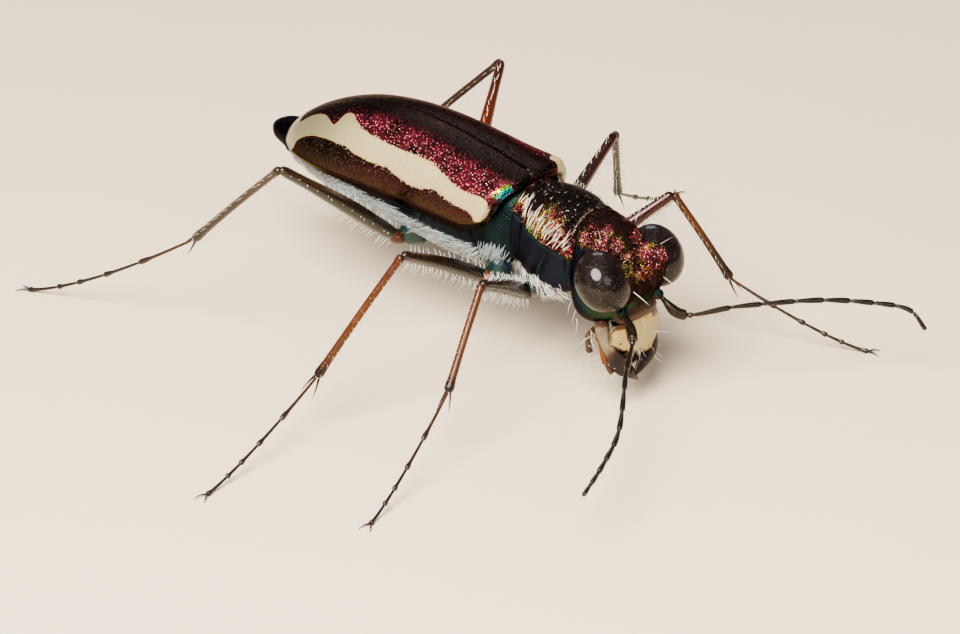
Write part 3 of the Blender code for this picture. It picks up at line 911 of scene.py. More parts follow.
@dataclass(frozen=True)
class ShieldFinish(Finish):
    """Rugose copper-black cuticle with bright facets where highlights are painted, going to blue on
    the flank.
    """

    name: str = "copper_black_shield"
    pitch: float = 24.0
    patch: float = 1.5
    rise: float = 0.020
    dark: Tint = (0.032, 0.024, 0.021)
    # The tint of painted glints.
    sparkle_tint: Tint = (0.90, 0.68, 0.68)
    # Painted shade in the troughs between the wrinkles.
    trough_shade: Tint = (0.004, 0.003, 0.003)
    teal: Tint = (0.020, 0.075, 0.075)
    facets: tuple = (
        (0.0, (0.10, 0.022, 0.018)),
        (0.24, (0.42, 0.050, 0.040)),
        (0.40, (0.90, 0.130, 0.180)),
        (0.54, (1.0, 0.320, 0.420)),
        (0.66, (0.95, 0.300, 0.070)),
        (0.82, (0.95, 0.580, 0.120)),
        (1.0, (0.30, 0.480, 0.110)),
    )
    flank: tuple = (
        (0.25, (0.012, 0.013, 0.022)),
        (0.50, (0.016, 0.018, 0.032)),
        (0.68, (0.012, 0.022, 0.038)),
        (0.85, (0.012, 0.040, 0.042)),
    )

    def dress(self, w: Wiring) -> dict[str, object]:
        """What goes into each input of the shader, by the input's name.

        Args:
            w: Adds the material's nodes.

        Returns:
            A value or an output for each input.
        """
        place = w.place()
        # Painted highlights: the coloured facets are bright only within the bright mark.
        bright = w.level("bright")
        flank = w.level("flank")
        rough = w.group(Effects.wrinkles(), Place=place, Pitch=self.pitch, Sway=0.10)
        grain = w.group(Effects.grain(), Place=place, Pitch=38.0)
        hue = w.group(
            Effects.drift(), Place=place, Patch=self.patch, Lot=rough["Lot"], Jump=0.80, Lean=-0.09
        )["Hue"]
        chosen = w.times(bright, w.span(w.math("ADD", rough["Lot"], bright), 0.60, 1.10))
        top = w.mix(chosen, self.dark, w.ramp(hue, self.facets))
        # Painted glints: a few crests turned white-pink.
        sparkles = w.times(w.span(rough["Lot"], 0.93, 0.97), w.span(rough["Height"], 0.75, 0.95))
        top = w.mix(w.times(sparkles, 0.5), top, self.sparkle_tint)
        # Painted shade: the troughs between the wrinkles are darkened.
        trough_shade = w.span(rough["Height"], 0.70, 0.30)
        top = w.mix(w.times(trough_shade, 0.90), top, self.trough_shade)
        cool = w.ramp(w.noise(place, 1.7, 3.0), self.flank)
        cool = w.mix(w.times(w.level("teal"), 0.5), cool, self.teal)
        return {
            "Base Color": w.mix(flank, top, cool),
            "Metallic": 0.85,
            "Roughness": w.between(flank, w.between(grain["Haze"], 0.22, 0.32), 0.38),
            "Specular Tint": (0.50, 0.44, 0.46),
            "Normal": w.bump(
                w.between(flank, rough["Height"], w.times(grain["Height"], 0.30)), self.rise, 0.9
            ),
        }


@dataclass(frozen=True)
class HeadFinish(Finish):
    """Finely ridged copper with many-coloured facets, painted bright in highlight patches, green
    cheeks and a maroon face plate.
    """

    name: str = "head_copper_and_green"
    facets: tuple = (
        (0.0, (0.18, 0.030, 0.038)),
        (0.18, (0.50, 0.058, 0.090)),
        (0.32, (0.80, 0.115, 0.190)),
        (0.42, (0.95, 0.420, 0.440)),
        (0.52, (0.85, 0.210, 0.080)),
        (0.68, (0.90, 0.500, 0.130)),
        (0.84, (0.55, 0.520, 0.110)),
        (1.0, (0.12, 0.360, 0.110)),
    )
    cheeks: tuple = (
        (0.22, (0.010, 0.015, 0.026)),
        (0.38, (0.012, 0.028, 0.038)),
        (0.54, (0.019, 0.048, 0.046)),
        (0.70, (0.034, 0.064, 0.030)),
        (0.86, (0.080, 0.056, 0.024)),
    )
    plate: Tint = (0.066, 0.038, 0.028)
    dark: Tint = (0.042, 0.023, 0.020)
    # The ground under the painted highlight patches.
    highlit_ground: Tint = (0.105, 0.034, 0.033)
    # The tint of painted glints.
    sparkle_tint: Tint = (1.0, 0.78, 0.62)
    # Painted shade in the troughs between the ridges.
    trough_shade: Tint = (0.018, 0.008, 0.007)

    def dress(self, w: Wiring) -> dict[str, object]:
        """What goes into each input of the shader, by the input's name.

        Args:
            w: Adds the material's nodes.

        Returns:
            A value or an output for each input.
        """
        place = w.place()
        # Painted highlights: the coloured facets are bright only within the bright mark.
        bright = w.level("bright")
        cheek = w.level("cheek")
        plate = w.level("plate")
        rough = w.group(Effects.wrinkles(), Place=place, Pitch=30.0, Sway=0.04)
        grain = w.group(Effects.grain(), Place=place, Pitch=42.0)
        hue = w.group(
            Effects.drift(), Place=place, Patch=2.4, Lot=rough["Lot"], Jump=0.50, Lean=-0.02
        )["Hue"]
        hue = w.times_plus(hue, 0.86, w.level("lean"))
        # Patches of painted highlight, each on a warmer ground.
        patch = w.times(bright, w.span(w.noise(place, 3.0, 2.0), 0.22, 0.50))
        chosen = w.span(w.math("ADD", rough["Lot"], w.times(patch, 1.1)), 0.95, 1.35)
        ground = w.mix(patch, self.dark, self.highlit_ground)
        copper = w.mix(chosen, ground, w.ramp(hue, self.facets))
        # Painted glints: pale points in the highlight patches.
        sparkles = w.times(w.span(rough["Lot"], 0.66, 0.80), w.span(patch, 0.35, 0.75))
        copper = w.mix(w.times(sparkles, 0.50), copper, self.sparkle_tint)
        # Painted shade: the troughs between the ridges are darkened.
        trough_shade = w.span(rough["Height"], 0.80, 0.35)
        copper = w.mix(w.times(trough_shade, 0.84), copper, self.trough_shade)
        around = w.stirred(w.level("hue"), w.noise(place, 2.2, 3.0), 0.5)
        tint = w.mix(cheek, copper, w.ramp(around, self.cheeks))
        tint = w.mix(plate, tint, self.plate)
        stripes = w.node(
            "ShaderNodeTexWave",
            {"Vector": place, "Scale": 6.0, "Distortion": 1.2, "Detail": 1.0, "Detail Scale": 3.0},
            wave_type="BANDS",
            bands_direction="X",
        ).outputs["Fac"]
        calm = w.math("MAXIMUM", cheek, plate)
        height = w.between(calm, rough["Height"], w.times(grain["Height"], 0.35))
        height = w.times_plus(w.times(stripes, w.level("ridged")), 0.8, height)
        return {
            "Base Color": tint,
            "Metallic": w.between(plate, 0.88, 0.25),
            "Roughness": w.between(grain["Haze"], 0.20, 0.30),
            "Specular Tint": (0.42, 0.30, 0.30),
            "Normal": w.bump(height, 0.016, 0.9),
        }


@dataclass(frozen=True)
class EyeFinish(Finish):
    """Dark brown facets under a clear gloss, with pale glints painted in a few facets."""

    name: str = "eye_dark_facets"
    pitch: float = 42.0
    tints: tuple = (
        (0.25, (0.004, 0.002, 0.0015)), (0.5, (0.009, 0.005, 0.004)), (0.75, (0.020, 0.012, 0.010))
    )
    # The tint of the painted glints in the facets.
    facet_glint: Tint = (0.60, 0.48, 0.45)

    def dress(self, w: Wiring) -> dict[str, object]:
        """What goes into each input of the shader, by the input's name.

        Args:
            w: Adds the material's nodes.

        Returns:
            A value or an output for each input.
        """
        place = w.place()
        facets = w.group(Effects.punctures(), Place=place, Pitch=self.pitch, Reach=0.7)
        cloud = w.noise(place, 2.2, 4.0)
        tint = w.ramp(cloud, self.tints)
        # Painted highlights: pale glints in scattered facets.
        cells = w.node("ShaderNodeTexVoronoi", {"Vector": place, "Scale": 36.0})
        lot = w.axis(cells.outputs["Color"], "X")
        facet_glint = w.times(w.span(cells.outputs["Distance"], 0.22, 0.12), w.span(lot, 0.60, 0.92))
        tint = w.mix(w.times(facet_glint, 0.85), tint, self.facet_glint)
        height = w.rest(facets["Height"])
        return {
            "Base Color": tint,
            "Metallic": 0.0,
            "Roughness": w.between(cloud, 0.34, 0.42),
            "Specular IOR Level": 0.10,
            "Coat Weight": 0.55,
            "Coat Roughness": 0.09,
            "Normal": w.bump(height, 0.0055, 0.8),
            "Coat Normal": w.bump(cloud, 0.004, 0.3),
        }


@dataclass(frozen=True)
class HornFinish(Finish):
    """Horn-like cuticle that runs through a few tints from its root to its tip."""

    name: str
    run: tuple
    metal: float = 0.0
    rough: float = 0.3
    coat: float = 0.3
    pitch: float = 22.0
    rise: float = 0.006
    glow: float = 0.0
    shine: float = 0.35
    under: Tint | None = None
    pit: Tint = (0.02, 0.012, 0.008)

    def dress(self, w: Wiring) -> dict[str, object]:
        """What goes into each input of the shader, by the input's name.

        Args:
            w: Adds the material's nodes.

        Returns:
            A value or an output for each input.
        """
        place = w.place()
        cloud = w.noise(place, 3.2, 3.0)
        at = w.stirred(w.level("reach"), cloud, 0.16)
        tint = w.ramp(at, self.run)
        if self.under is not None:
            low = w.stirred(w.level("below"), cloud, 0.3)
            tint = w.mix(w.times(w.span(low, 0.42, 0.66), 0.85), tint, self.under)
        pits = w.group(Effects.punctures(), Place=place, Pitch=self.pitch, Reach=0.5)
        grain = w.group(Effects.grain(), Place=place, Pitch=60.0)
        tint = w.mix(w.times(pits["Pit"], 0.35), tint, self.pit)
        given = {
            "Base Color": tint,
            "Metallic": self.metal,
            "Roughness": w.between(grain["Haze"], self.rough * 0.75, self.rough * 1.25),
            "Specular IOR Level": self.shine,
            "Coat Weight": self.coat,
            "Coat Roughness": 0.15,
            "Normal": w.bump(w.times_plus(grain["Height"], 0.4, pits["Height"]), self.rise, 0.8),
        }
        if self.glow:
            given |= {
                "Subsurface Weight": self.glow,
                "Subsurface Radius": (0.9, 0.45, 0.2),
                "Subsurface Scale": 0.12 * MM,
            }
        return given


@dataclass(frozen=True)
class LipFinish(Finish):
    """Smooth ivory that browns at its edges, with a few dark sockets near the front."""

    name: str = "lip_ivory"
    ivory: Tint = (0.41, 0.345, 0.165)
    stain: Tint = (0.45, 0.30, 0.10)
    brown: Tint = (0.11, 0.054, 0.024)
    socket: Tint = (0.012, 0.008, 0.006)

    def dress(self, w: Wiring) -> dict[str, object]:
        """What goes into each input of the shader, by the input's name.

        Args:
            w: Adds the material's nodes.

        Returns:
            A value or an output for each input.
        """
        place = w.place()
        cloud = w.noise(place, 2.6, 3.0)
        tint = w.mix(w.span(cloud, 0.40, 0.66), self.ivory, self.stain)
        rim = w.stirred(w.level("rim"), cloud, 0.3)
        tint = w.mix(w.span(rim, 0.45, 0.95), tint, self.brown)
        tint = w.mix(w.level("socket"), tint, self.socket)
        grain = w.group(Effects.grain(), Place=place, Pitch=30.0)
        return {
            "Base Color": tint,
            "Roughness": w.between(grain["Haze"], 0.28, 0.42),
            "Specular IOR Level": 0.35,
            "Coat Weight": 0.15,
            "Coat Roughness": 0.16,
            "Subsurface Weight": 0.35,
            "Subsurface Radius": (0.9, 0.6, 0.3),
            "Subsurface Scale": 0.10 * MM,
            "Normal": w.bump(grain["Height"], 0.006, 0.6),
        }


@dataclass(frozen=True)
class FlankFinish(Finish):
    """Blue-green cuticle with a fine shagreen."""

    name: str = "flank_blue_green"
    tints: tuple = (
        (0.30, (0.012, 0.012, 0.016)),
        (0.48, (0.012, 0.018, 0.024)),
        (0.62, (0.013, 0.028, 0.027)),
        (0.80, (0.018, 0.042, 0.020)),
    )
    pit: Tint = (0.006, 0.008, 0.010)
    tail: Tint = (0.009, 0.006, 0.010)
    seam: Tint = (0.12, 0.085, 0.05)
    silk: Tint = (0.17, 0.19, 0.18)
    metal: float = 0.8

    def dress(self, w: Wiring) -> dict[str, object]:
        """What goes into each input of the shader, by the input's name.

        Args:
            w: Adds the material's nodes.

        Returns:
            A value or an output for each input.
        """
        place = w.place()
        pits = w.group(Effects.punctures(), Place=place, Pitch=17.0, Reach=0.5)
        grain = w.group(Effects.grain(), Place=place, Pitch=45.0)
        around = w.math("ADD", w.noise(place, 1.6, 4.0), w.level("hue"))
        tint = w.ramp(around, self.tints)
        tint = w.mix(w.times(pits["Pit"], 0.5), tint, self.pit)
        tint = w.mix(w.level("tail"), tint, self.tail)
        tint = w.mix(w.level("seam"), tint, self.seam)
        streaks = w.node(
            "ShaderNodeVectorMath", {0: place, 1: (9.0, 1.6, 26.0)}, operation="MULTIPLY"
        )
        silk = w.times(w.level("silk"), w.span(w.noise(streaks.outputs[0], 1.0), 0.25, 0.7))
        tint = w.mix(silk, tint, self.silk)
        return {
            "Base Color": tint,
            "Metallic": w.times(w.rest(silk), self.metal),
            "Roughness": w.between(grain["Haze"], 0.28, 0.42),
            "Specular Tint": (0.35, 0.35, 0.40),
            "Normal": w.bump(w.times_plus(grain["Height"], 0.4, pits["Height"]), 0.010, 0.8),
        }


@dataclass(frozen=True)
class HairFinish(Finish):
    """Pale bristle, a little deeper in tone at its root and from one hair to the next."""

    name: str = "bristle_white"
    root: Tint = (0.55, 0.50, 0.40)
    tip: Tint = (0.88, 0.87, 0.82)
    rough: float = 0.38

    def dress(self, w: Wiring) -> dict[str, object]:
        """What goes into each input of the shader, by the input's name.

        Args:
            w: Adds the material's nodes.

        Returns:
            A value or an output for each input.
        """
        reach = w.level("reach")
        lot = w.level("lot")
        fluted = w.noise(w.place(), 60.0, 2.0)
        tint = w.mix(w.span(reach, 0.0, 0.35), self.root, self.tip)
        tint = w.mix(w.times(lot, 0.35), tint, self.root)
        return {
            "Base Color": tint,
            "Roughness": w.between(fluted, self.rough * 0.8, self.rough * 1.2),
            "Subsurface Weight": 0.25,
            "Subsurface Radius": (1.0, 0.95, 0.85),
            "Subsurface Scale": 0.02 * MM,
            "Normal": w.bump(fluted, 0.001, 0.5),
        }


@dataclass(frozen=True)
class FloorFinish(Finish):
    """A plain pale floor with the faintest mottle."""

    name: str = "floor_pale"
    sand: Tint = (0.84, 0.69, 0.500)
    shade: Tint = (0.79, 0.645, 0.465)

    def dress(self, w: Wiring) -> dict[str, object]:
        """What goes into each input of the shader, by the input's name.

        Args:
            w: Adds the material's nodes.

        Returns:
            A value or an output for each input.
        """
        place = w.place()
        cloud = w.noise(place, 0.12, 3.0)
        return {
            "Base Color": w.mix(cloud, self.sand, self.shade),
            "Roughness": 0.85,
            "Normal": w.bump(w.noise(place, 1.5, 4.0), 0.02, 0.3),
        }


# Hairs


@dataclass
class Coat:
    """Bristles that grow from a skin, gathered into one piece."""

    seed: int
    sides: int = 3
    rings: int = 4
    forms: list[Form] = field(default_factory=list)

    def __post_init__(self) -> None:
        """Starts the coat's own random draw."""
        self.rng = np.random.default_rng(self.seed)

    def grow(
        self, roots: Array, way: Array, comb: Array, length: Array, radius: Array, chart: Array
    ) -> None:
        """Adds tapered bristles.

        Args:
            roots: Where the bristles grow, in millimetres.
            way: The direction that each one starts in.
            comb: How far each one bends by its tip, in shares of its length.
            length: Each one's length.
            radius: Each one's radius at its root.
            chart: Each root's place on the unwrap of its skin.
        """
        count = len(roots)
        if not count:
            return
        way = unit(way)
        sunk = roots - way * 0.03
        length = np.broadcast_to(length, (count,))
        radius = np.broadcast_to(radius, (count,))
        share = np.linspace(0, 1, self.rings + 1)[None, :, None]
        spine = sunk[:, None] + length[:, None, None] * (
            way[:, None] * share + comb[:, None] * share**2
        )
        ways = unit(np.gradient(spine, axis=1))
        guide = unit(self.rng.normal(size=(count, 3)))
        across = unit(np.cross(ways, guide[:, None]))
        over = np.cross(ways, across)
        turn = ring_turns(self.sides)
        thick = radius[:, None] * (1 - share[0, :-1, 0]) ** 0.7
        ring = (
            across[:, :-1, None] * np.cos(turn)[:, None]
            + over[:, :-1, None] * np.sin(turn)[:, None]
        ) * thick[:, :, None, None] + spine[:, :-1, None]
        points = np.concatenate([ring.reshape(count, -1, 3), spine[:, -1:]], axis=1)
        per = points.shape[1]
        starts = (np.arange(count) * per)[:, None, None]
        index = np.arange(self.rings * self.sides).reshape(self.rings, self.sides)
        a, b = index[:-1], index[1:]
        quads = np.stack([a, np.roll(a, -1, 1), np.roll(b, -1, 1), b], -1).reshape(-1, 4)
        top = np.stack([index[-1], np.roll(index[-1], -1), np.full(self.sides, per - 1)], -1)
        base = [index[0, [0, k + 1, k]] for k in range(1, self.sides - 1)]
        tris = np.concatenate([top, np.array(base)])
        reach = np.append(np.repeat(share[0, :-1, 0], self.sides), 1.0)
        spread = np.stack([reach, np.append(np.tile(turn / ALL_ROUND, self.rings), 0.5)], -1)
        marks = {
            "at": points.reshape(-1, 3),
            "reach": np.tile(reach, count),
            "lot": np.repeat(self.rng.random(count), per),
        }
        self.forms.append(
            Form(
                points.reshape(-1, 3),
                (quads[None] + starts).reshape(-1, 4),
                (tris[None] + starts).reshape(-1, 3),
                marks,
                (chart[:, None] + spread[None] * BAKE_PATCH).reshape(-1, 2),
            )
        )

    def cover(
        self,
        skin: Sheet,
        count: int,
        inside: Field,
        lie: Field,
        length: tuple[float, float],
        radius: float,
        lift: float = 0.35,
        bend: float = 0.35,
        spread: float = 0.18,
    ) -> None:
        """Grows bristles over part of a skin.

        Args:
            skin: The skin that they grow from.
            count: How many places are tried all over the skin.
            inside: Tells which points of the skin carry bristles, as a share.
            lie: Gives the direction that bristles lie in, from points.
            length: The shortest and the longest.
            radius: Their radius at the root.
            lift: How far they stand off the skin at the root.
            bend: How far they bend towards the skin by the tip.
            spread: How unevenly they lie.
        """
        u, v = self.rng.random(count), self.rng.random(count)
        at = skin.read(skin.grid, u, v)
        keep = self.rng.random(count) < inside(at)
        u, v, at = u[keep], v[keep], at[keep]
        out = unit(skin.read(skin.normals(), u, v))
        flow = lie(at) + self.rng.normal(size=at.shape) * spread
        flow = unit(flow - out * (flow * out).sum(-1, keepdims=True))
        way = unit(flow + out * lift)
        comb = -out * bend * self.rng.uniform(0.6, 1.2, len(at))[:, None] * lift
        sizes = self.rng.uniform(*length, len(at))
        thick = radius * self.rng.uniform(0.8, 1.2, len(at))
        self.grow(at, way, comb, sizes, thick, np.stack([u, v], -1))

    def form(self) -> Form:
        """All the bristles as one form."""
        return Form.joined(self.forms)


# Laying pieces


def mesh_of(name: str, form: Form, axes: Axes) -> bpy.types.Mesh:
    """Makes a mesh of a form.

    Args:
        name: The mesh's name.
        form: Its points and faces.
        axes: The axes that the form is laid out in.

    Returns:
        The mesh, in metres, with the form's marks and chart.
    """
    mesh = bpy.data.meshes.new(name)
    corners = np.concatenate([form.quads.ravel(), form.tris.ravel()]).astype(np.int32)
    starts = np.concatenate(
        [np.arange(len(form.quads)) * 4, len(form.quads) * 4 + np.arange(len(form.tris)) * 3]
    ).astype(np.int32)
    mesh.vertices.add(len(form.points))
    mesh.vertices.foreach_set("co", (seat(form.points, axes) * MM).astype(np.float32).ravel())
    mesh.loops.add(len(corners))
    mesh.loops.foreach_set("vertex_index", corners)
    mesh.polygons.add(len(starts))
    mesh.polygons.foreach_set("loop_start", starts)
    mesh.update(calc_edges=True)
    mesh.polygons.foreach_set("use_smooth", np.ones(len(starts), bool))
    for label, values in form.marks.items():
        vector = values.ndim == 2
        layer = mesh.attributes.new(label, "FLOAT_VECTOR" if vector else "FLOAT", "POINT")
        layer.data.foreach_set("vector" if vector else "value", values.astype(np.float32).ravel())
    if form.chart is not None:
        chart = mesh.uv_layers.new(name="OFBake")
        chart.uv.foreach_set("vector", form.chart[corners].astype(np.float32).ravel())
    mesh.validate()
    return mesh


def lay(
    name: str, form: Form, axes: Axes, finish: Finish, nodes: Iterable[str] = ()
) -> bpy.types.Object:
    """Lays a piece on the frame.

    Args:
        name: The piece's name.
        form: Its points and faces.
        axes: The axes that the form is laid out in.
        finish: Its finish.
        nodes: The nodes of the frame that it stands for.

    Returns:
        The piece.
    """
    piece = bpy.data.objects.new(name, mesh_of(name, form, axes))
    bpy.context.scene.collection.objects.link(piece)
    piece.data.materials.append(finish.material())
    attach(piece, "root")
    if nodes:
        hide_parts(*nodes)
    log.info("%s: %d faces, for %s", name, len(piece.data.polygons), ", ".join(nodes) or "no node")
    return piece


# Wing cases


@dataclass
class WingCases:
    """The two hard wing cases, shut along the back."""

    length: float = 7.10
    half_width: float = 1.52
    widest_at: float = 4.40
    shoulder_taper: float = 0.10
    base_height: float = 1.276
    arch: float = 0.174
    arch_at: float = 2.60
    margin_front: float = -0.03
    margin_drop: float = 0.40
    fullness: float = 2.15
    shoulder_fullness: float = 0.94
    shoulder_reach: float = 1.4
    fall: float = 1.514
    fall_power: float = 2.128
    callus: float = 0.037
    margin_rise: float = 0.383
    rise_reach: float = 0.775
    corner: float = 0.16
    corner_from: float = 0.62
    lip: float = 0.11
    lip_side: float = 0.04
    bead: float = 0.020
    seam_groove: float = 0.004
    seam_gap: float = 0.0025
    stripe_across: float = 2.3
    left_start: float = 0.27
    thickness: float = 0.15
    rows: int = 300
    columns: int = 150
    upper_edge: tuple = (
        (-0.30, 0.90), (0.05, 0.76), (0.06, 0.71), (0.10, 0.668), (0.20, 0.639), (0.33, 0.625),
        (0.57, 0.621), (0.78, 0.619), (0.99, 0.610), (1.19, 0.587), (1.42, 0.552), (1.64, 0.524),
        (1.93, 0.488), (2.29, 0.484), (2.61, 0.494), (2.91, 0.498), (3.16, 0.497), (3.43, 0.486),
        (3.69, 0.469), (3.92, 0.456), (4.10, 0.433), (4.25, 0.409), (4.43, 0.363), (4.65, 0.298),
        (4.79, 0.271), (4.93, 0.278), (4.99, 0.330), (5.01, 0.440), (5.04, 0.455), (5.12, 0.443),
        (5.31, 0.393), (5.60, 0.330), (5.80, 0.320), (6.01, 0.346), (6.15, 0.402), (6.25, 0.460),
        (6.33, 0.485), (6.42, 0.400), (6.55, 0.200), (6.68, 0.050), (6.78, 0.0), (7.20, -0.1),
    )
    lower_edge: tuple = (
        (-0.30, 0.70), (-0.05, 0.80), (0.05, 0.90), (0.15, 0.96), (0.30, 0.95), (0.40, 0.892),
        (0.57, 0.848), (0.75, 0.841), (0.97, 0.833), (1.19, 0.820), (1.39, 0.792), (1.57, 0.784),
        (1.77, 0.798), (2.02, 0.828), (2.20, 0.833), (2.45, 0.821), (2.71, 0.794), (2.98, 0.761),
        (3.25, 0.755), (3.59, 0.753), (3.85, 0.739), (4.11, 0.720), (4.33, 0.683), (4.51, 0.667),
        (4.77, 0.654), (5.05, 0.639), (5.37, 0.639), (5.64, 0.665), (5.86, 0.723), (6.01, 0.810),
        (6.07, 0.904), (6.15, 0.974), (6.30, 1.05), (7.20, 1.30),
    )

    def width_at(self, y: Array) -> Array:
        """Half the width of both cases together, at y."""
        past = np.clip((y - self.widest_at) / (self.length - self.widest_at), 0, 1)
        rear = self.half_width * (1 - past**2.6) ** 0.6
        front = self.half_width - self.shoulder_taper * (1 - y / self.widest_at)
        return np.where(y > self.widest_at, np.maximum(rear, 0.05), front)

    def top_at(self, y: Array) -> Array:
        """The height of the seam between the cases, at y."""
        past = np.clip((y - self.arch_at) / (self.length - self.arch_at), 0, 1)
        rise = self.arch * np.sin(np.pi / 2 * np.clip(y / self.arch_at, -1, 1))
        fall = self.fall * past**self.fall_power + 0.62 * (1 - np.sqrt(1 - past**12))
        return self.base_height + rise - fall

    def power_at(self, y: Array) -> Array:
        """How square a case is at y, fullest at its shoulder."""
        return (
            self.fullness
            + self.shoulder_fullness * np.clip(1 - y / 4.4, 0, 1) ** self.shoulder_reach
        )

    def margin_at(self, y: Array) -> Array:
        """The height of a case's outer margin, at y."""
        sweep = self.margin_front - self.margin_drop * (np.maximum(y, 0) / self.length) ** 1.8
        return sweep + self.margin_rise * np.clip(1 - y / self.rise_reach, 0, 1.5) ** 1.5

    def base_at(self, girth: Array) -> Array:
        """Where a case begins, at a share of the way from its seam to its margin."""
        corner = np.maximum(girth - self.corner_from, 0) / (1 - self.corner_from)
        return -0.20 + 0.15 * np.minimum(girth / 0.66, 1) ** 2 + self.corner * corner

    def edge_at(self, edge: tuple, y: Array, side: Side) -> Array:
        """Where one edge of the ivory stripe is at y; on the left case it starts higher.

        Args:
            edge: The upper or the lower edge.
            y: The places along the case.
            side: The side that the case lies on.

        Returns:
            Shares of the way from the seam to the margin.
        """
        line = through(edge, y)[..., 0]
        if side is Side.LEFT and edge is self.upper_edge:
            line = line + (self.left_start - line) * ease(-y, -0.50, -0.10)
        return line

    def stripe_at(self, y: Array, girth: Array, side: Side) -> Array:
        """How far inside the ivory stripe points are, in millimetres.

        Args:
            y: The points' places along the case.
            girth: Their shares of the way from the seam to the margin.
            side: The side that the case lies on.

        Returns:
            The distances, negative outside the stripe.
        """
        inside = []
        for edge, sign in ((self.upper_edge, 1), (self.lower_edge, -1)):
            line = self.edge_at(edge, y, side)
            slope = (self.edge_at(edge, y + 0.01, side) - line) / 0.01 * self.stripe_across
            inside.append(sign * (girth - line) * self.stripe_across / np.sqrt(1 + slope**2))
        return np.minimum(*inside)

    def skin(self, side: Side) -> Sheet:
        """One wing case.

        Args:
            side: The side that it lies on.

        Returns:
            Its skin, outside and inside.
        """
        across = self.columns
        girth = np.concatenate([np.linspace(0, 1, across) ** 0.96, np.linspace(1, 0.02, 18)])
        inner = np.arange(len(girth)) >= across
        way = np.linspace(0, 1, self.rows)[:, None]
        way = 0.55 * way + 0.45 * (1 - (1 - way) ** 2.2)
        way = way - 0.06 * np.sin(np.pi * way) * (1 - way)
        start = self.base_at(girth)[None]
        y = start + (self.length - 0.006 - start) * way
        turn = girth[None] * np.pi / 2
        power = 2 / self.power_at(y)
        wide, top, low = self.width_at(y), self.top_at(y), self.margin_at(y)
        tall = np.maximum(top - low, 0.02)
        x = wide * np.sin(turn) ** power
        z = low + tall * np.cos(turn) ** power
        out_x, out_z = np.sin(turn) * tall, np.cos(turn) * wide
        size = np.hypot(out_x, out_z)
        out_x, out_z = out_x / size, out_z / size
        lip = (
            self.lip + self.lip_side * ease(girth, 0.45, 0.85)[None]
            + 0.15 * bell(girth, 0.60, 0.14)[None]
        )
        lip = lip + 0.11 * (side is Side.LEFT) * bell(girth, 0.36, 0.16)[None]
        behind = np.minimum(y - start, lip)
        drop = lip - np.sqrt(np.maximum(lip**2 - (lip - behind) ** 2, 0))
        tuck = np.where(inner[None], self.thickness * np.clip(tall / 0.5, 0.1, 1), 0.0)
        tuck = np.where(inner[None], np.maximum(tuck, drop * 0.6 + tuck * 0.5), drop)
        bead = self.bead * bell(girth, 0.975, 0.018)[None] * ease(y, 0.5, 1.2) * ~inner[None]
        hollow = 0.030 * bell(x, 0.72, 0.20) * bell(y, 0.22, 0.30) * ~inner[None]
        hollow = hollow - self.callus * bell(x, 1.12, 0.26) * bell(y, 0.35, 0.60) * ~inner[None]
        seam = self.seam_groove * bell(x, 0.0, 0.020) * ~inner[None]
        shift = bead - hollow - seam - tuck
        apart = self.seam_gap + 0.0155 * bell(y, self.length, 0.10)
        x = np.maximum(x + out_x * shift, apart)
        z = z + out_z * shift
        grid = np.stack([x * side.value, y, z], -1)
        even = np.broadcast_to(girth, x.shape)
        behind = y - start
        upper = through(self.upper_edge, y)[..., 0]
        # Where highlights are painted: along the side above the stripe and at the front, fading
        # towards the top, the rear and below the stripe.
        spark = ease(even, 0.13, 0.33) * (0.62 + 0.45 * bell(even, upper - 0.04, 0.18))
        spark = spark + 0.30 * ease(-y, -2.2, -1.0) * ease(even, 0.22, 0.36)
        spark = spark * np.where(even > upper + 0.06, 0.08, 1.0) * ease(-y, -5.3, -4.6)
        spark = spark * (1 - 0.85 * ease(-behind, -0.26, -0.06) * ease(even, 0.46, 0.54))
        marks = {
            "girth": even,
            "stripe": self.stripe_at(y, even, side),
            "ragged": ease(-y, -5.0, -4.5) * ease(y, 0.35, 0.75),
            "spark": np.clip(spark, 0, 1),
            # The glint is a painted reflection, so only the right case has it.
            "glint": ease(-behind, -0.17, -0.10) * ease(even, 0.23, 0.29)
            * ease(-even, -0.60, -0.50) * (side is Side.RIGHT),
            "glint_run": np.clip(1 - behind / 0.15 + 0.6 * (even - 0.40), 0, 1),
            "knob": ease(-np.hypot(even - 0.755, (y - 0.03) * 0.9), -0.034, -0.020)
            * (side is Side.RIGHT),
        }
        return Sheet(grid, marks)

    def build(self) -> None:
        """Lays both wing cases."""
        for side in Side:
            name = f"elytron_{side.word}"
            lay(
                f"wing_case_{side.word}", self.skin(side).form(), Axes.BODY, CaseFinish(),
                [name]
            )


# Fore body


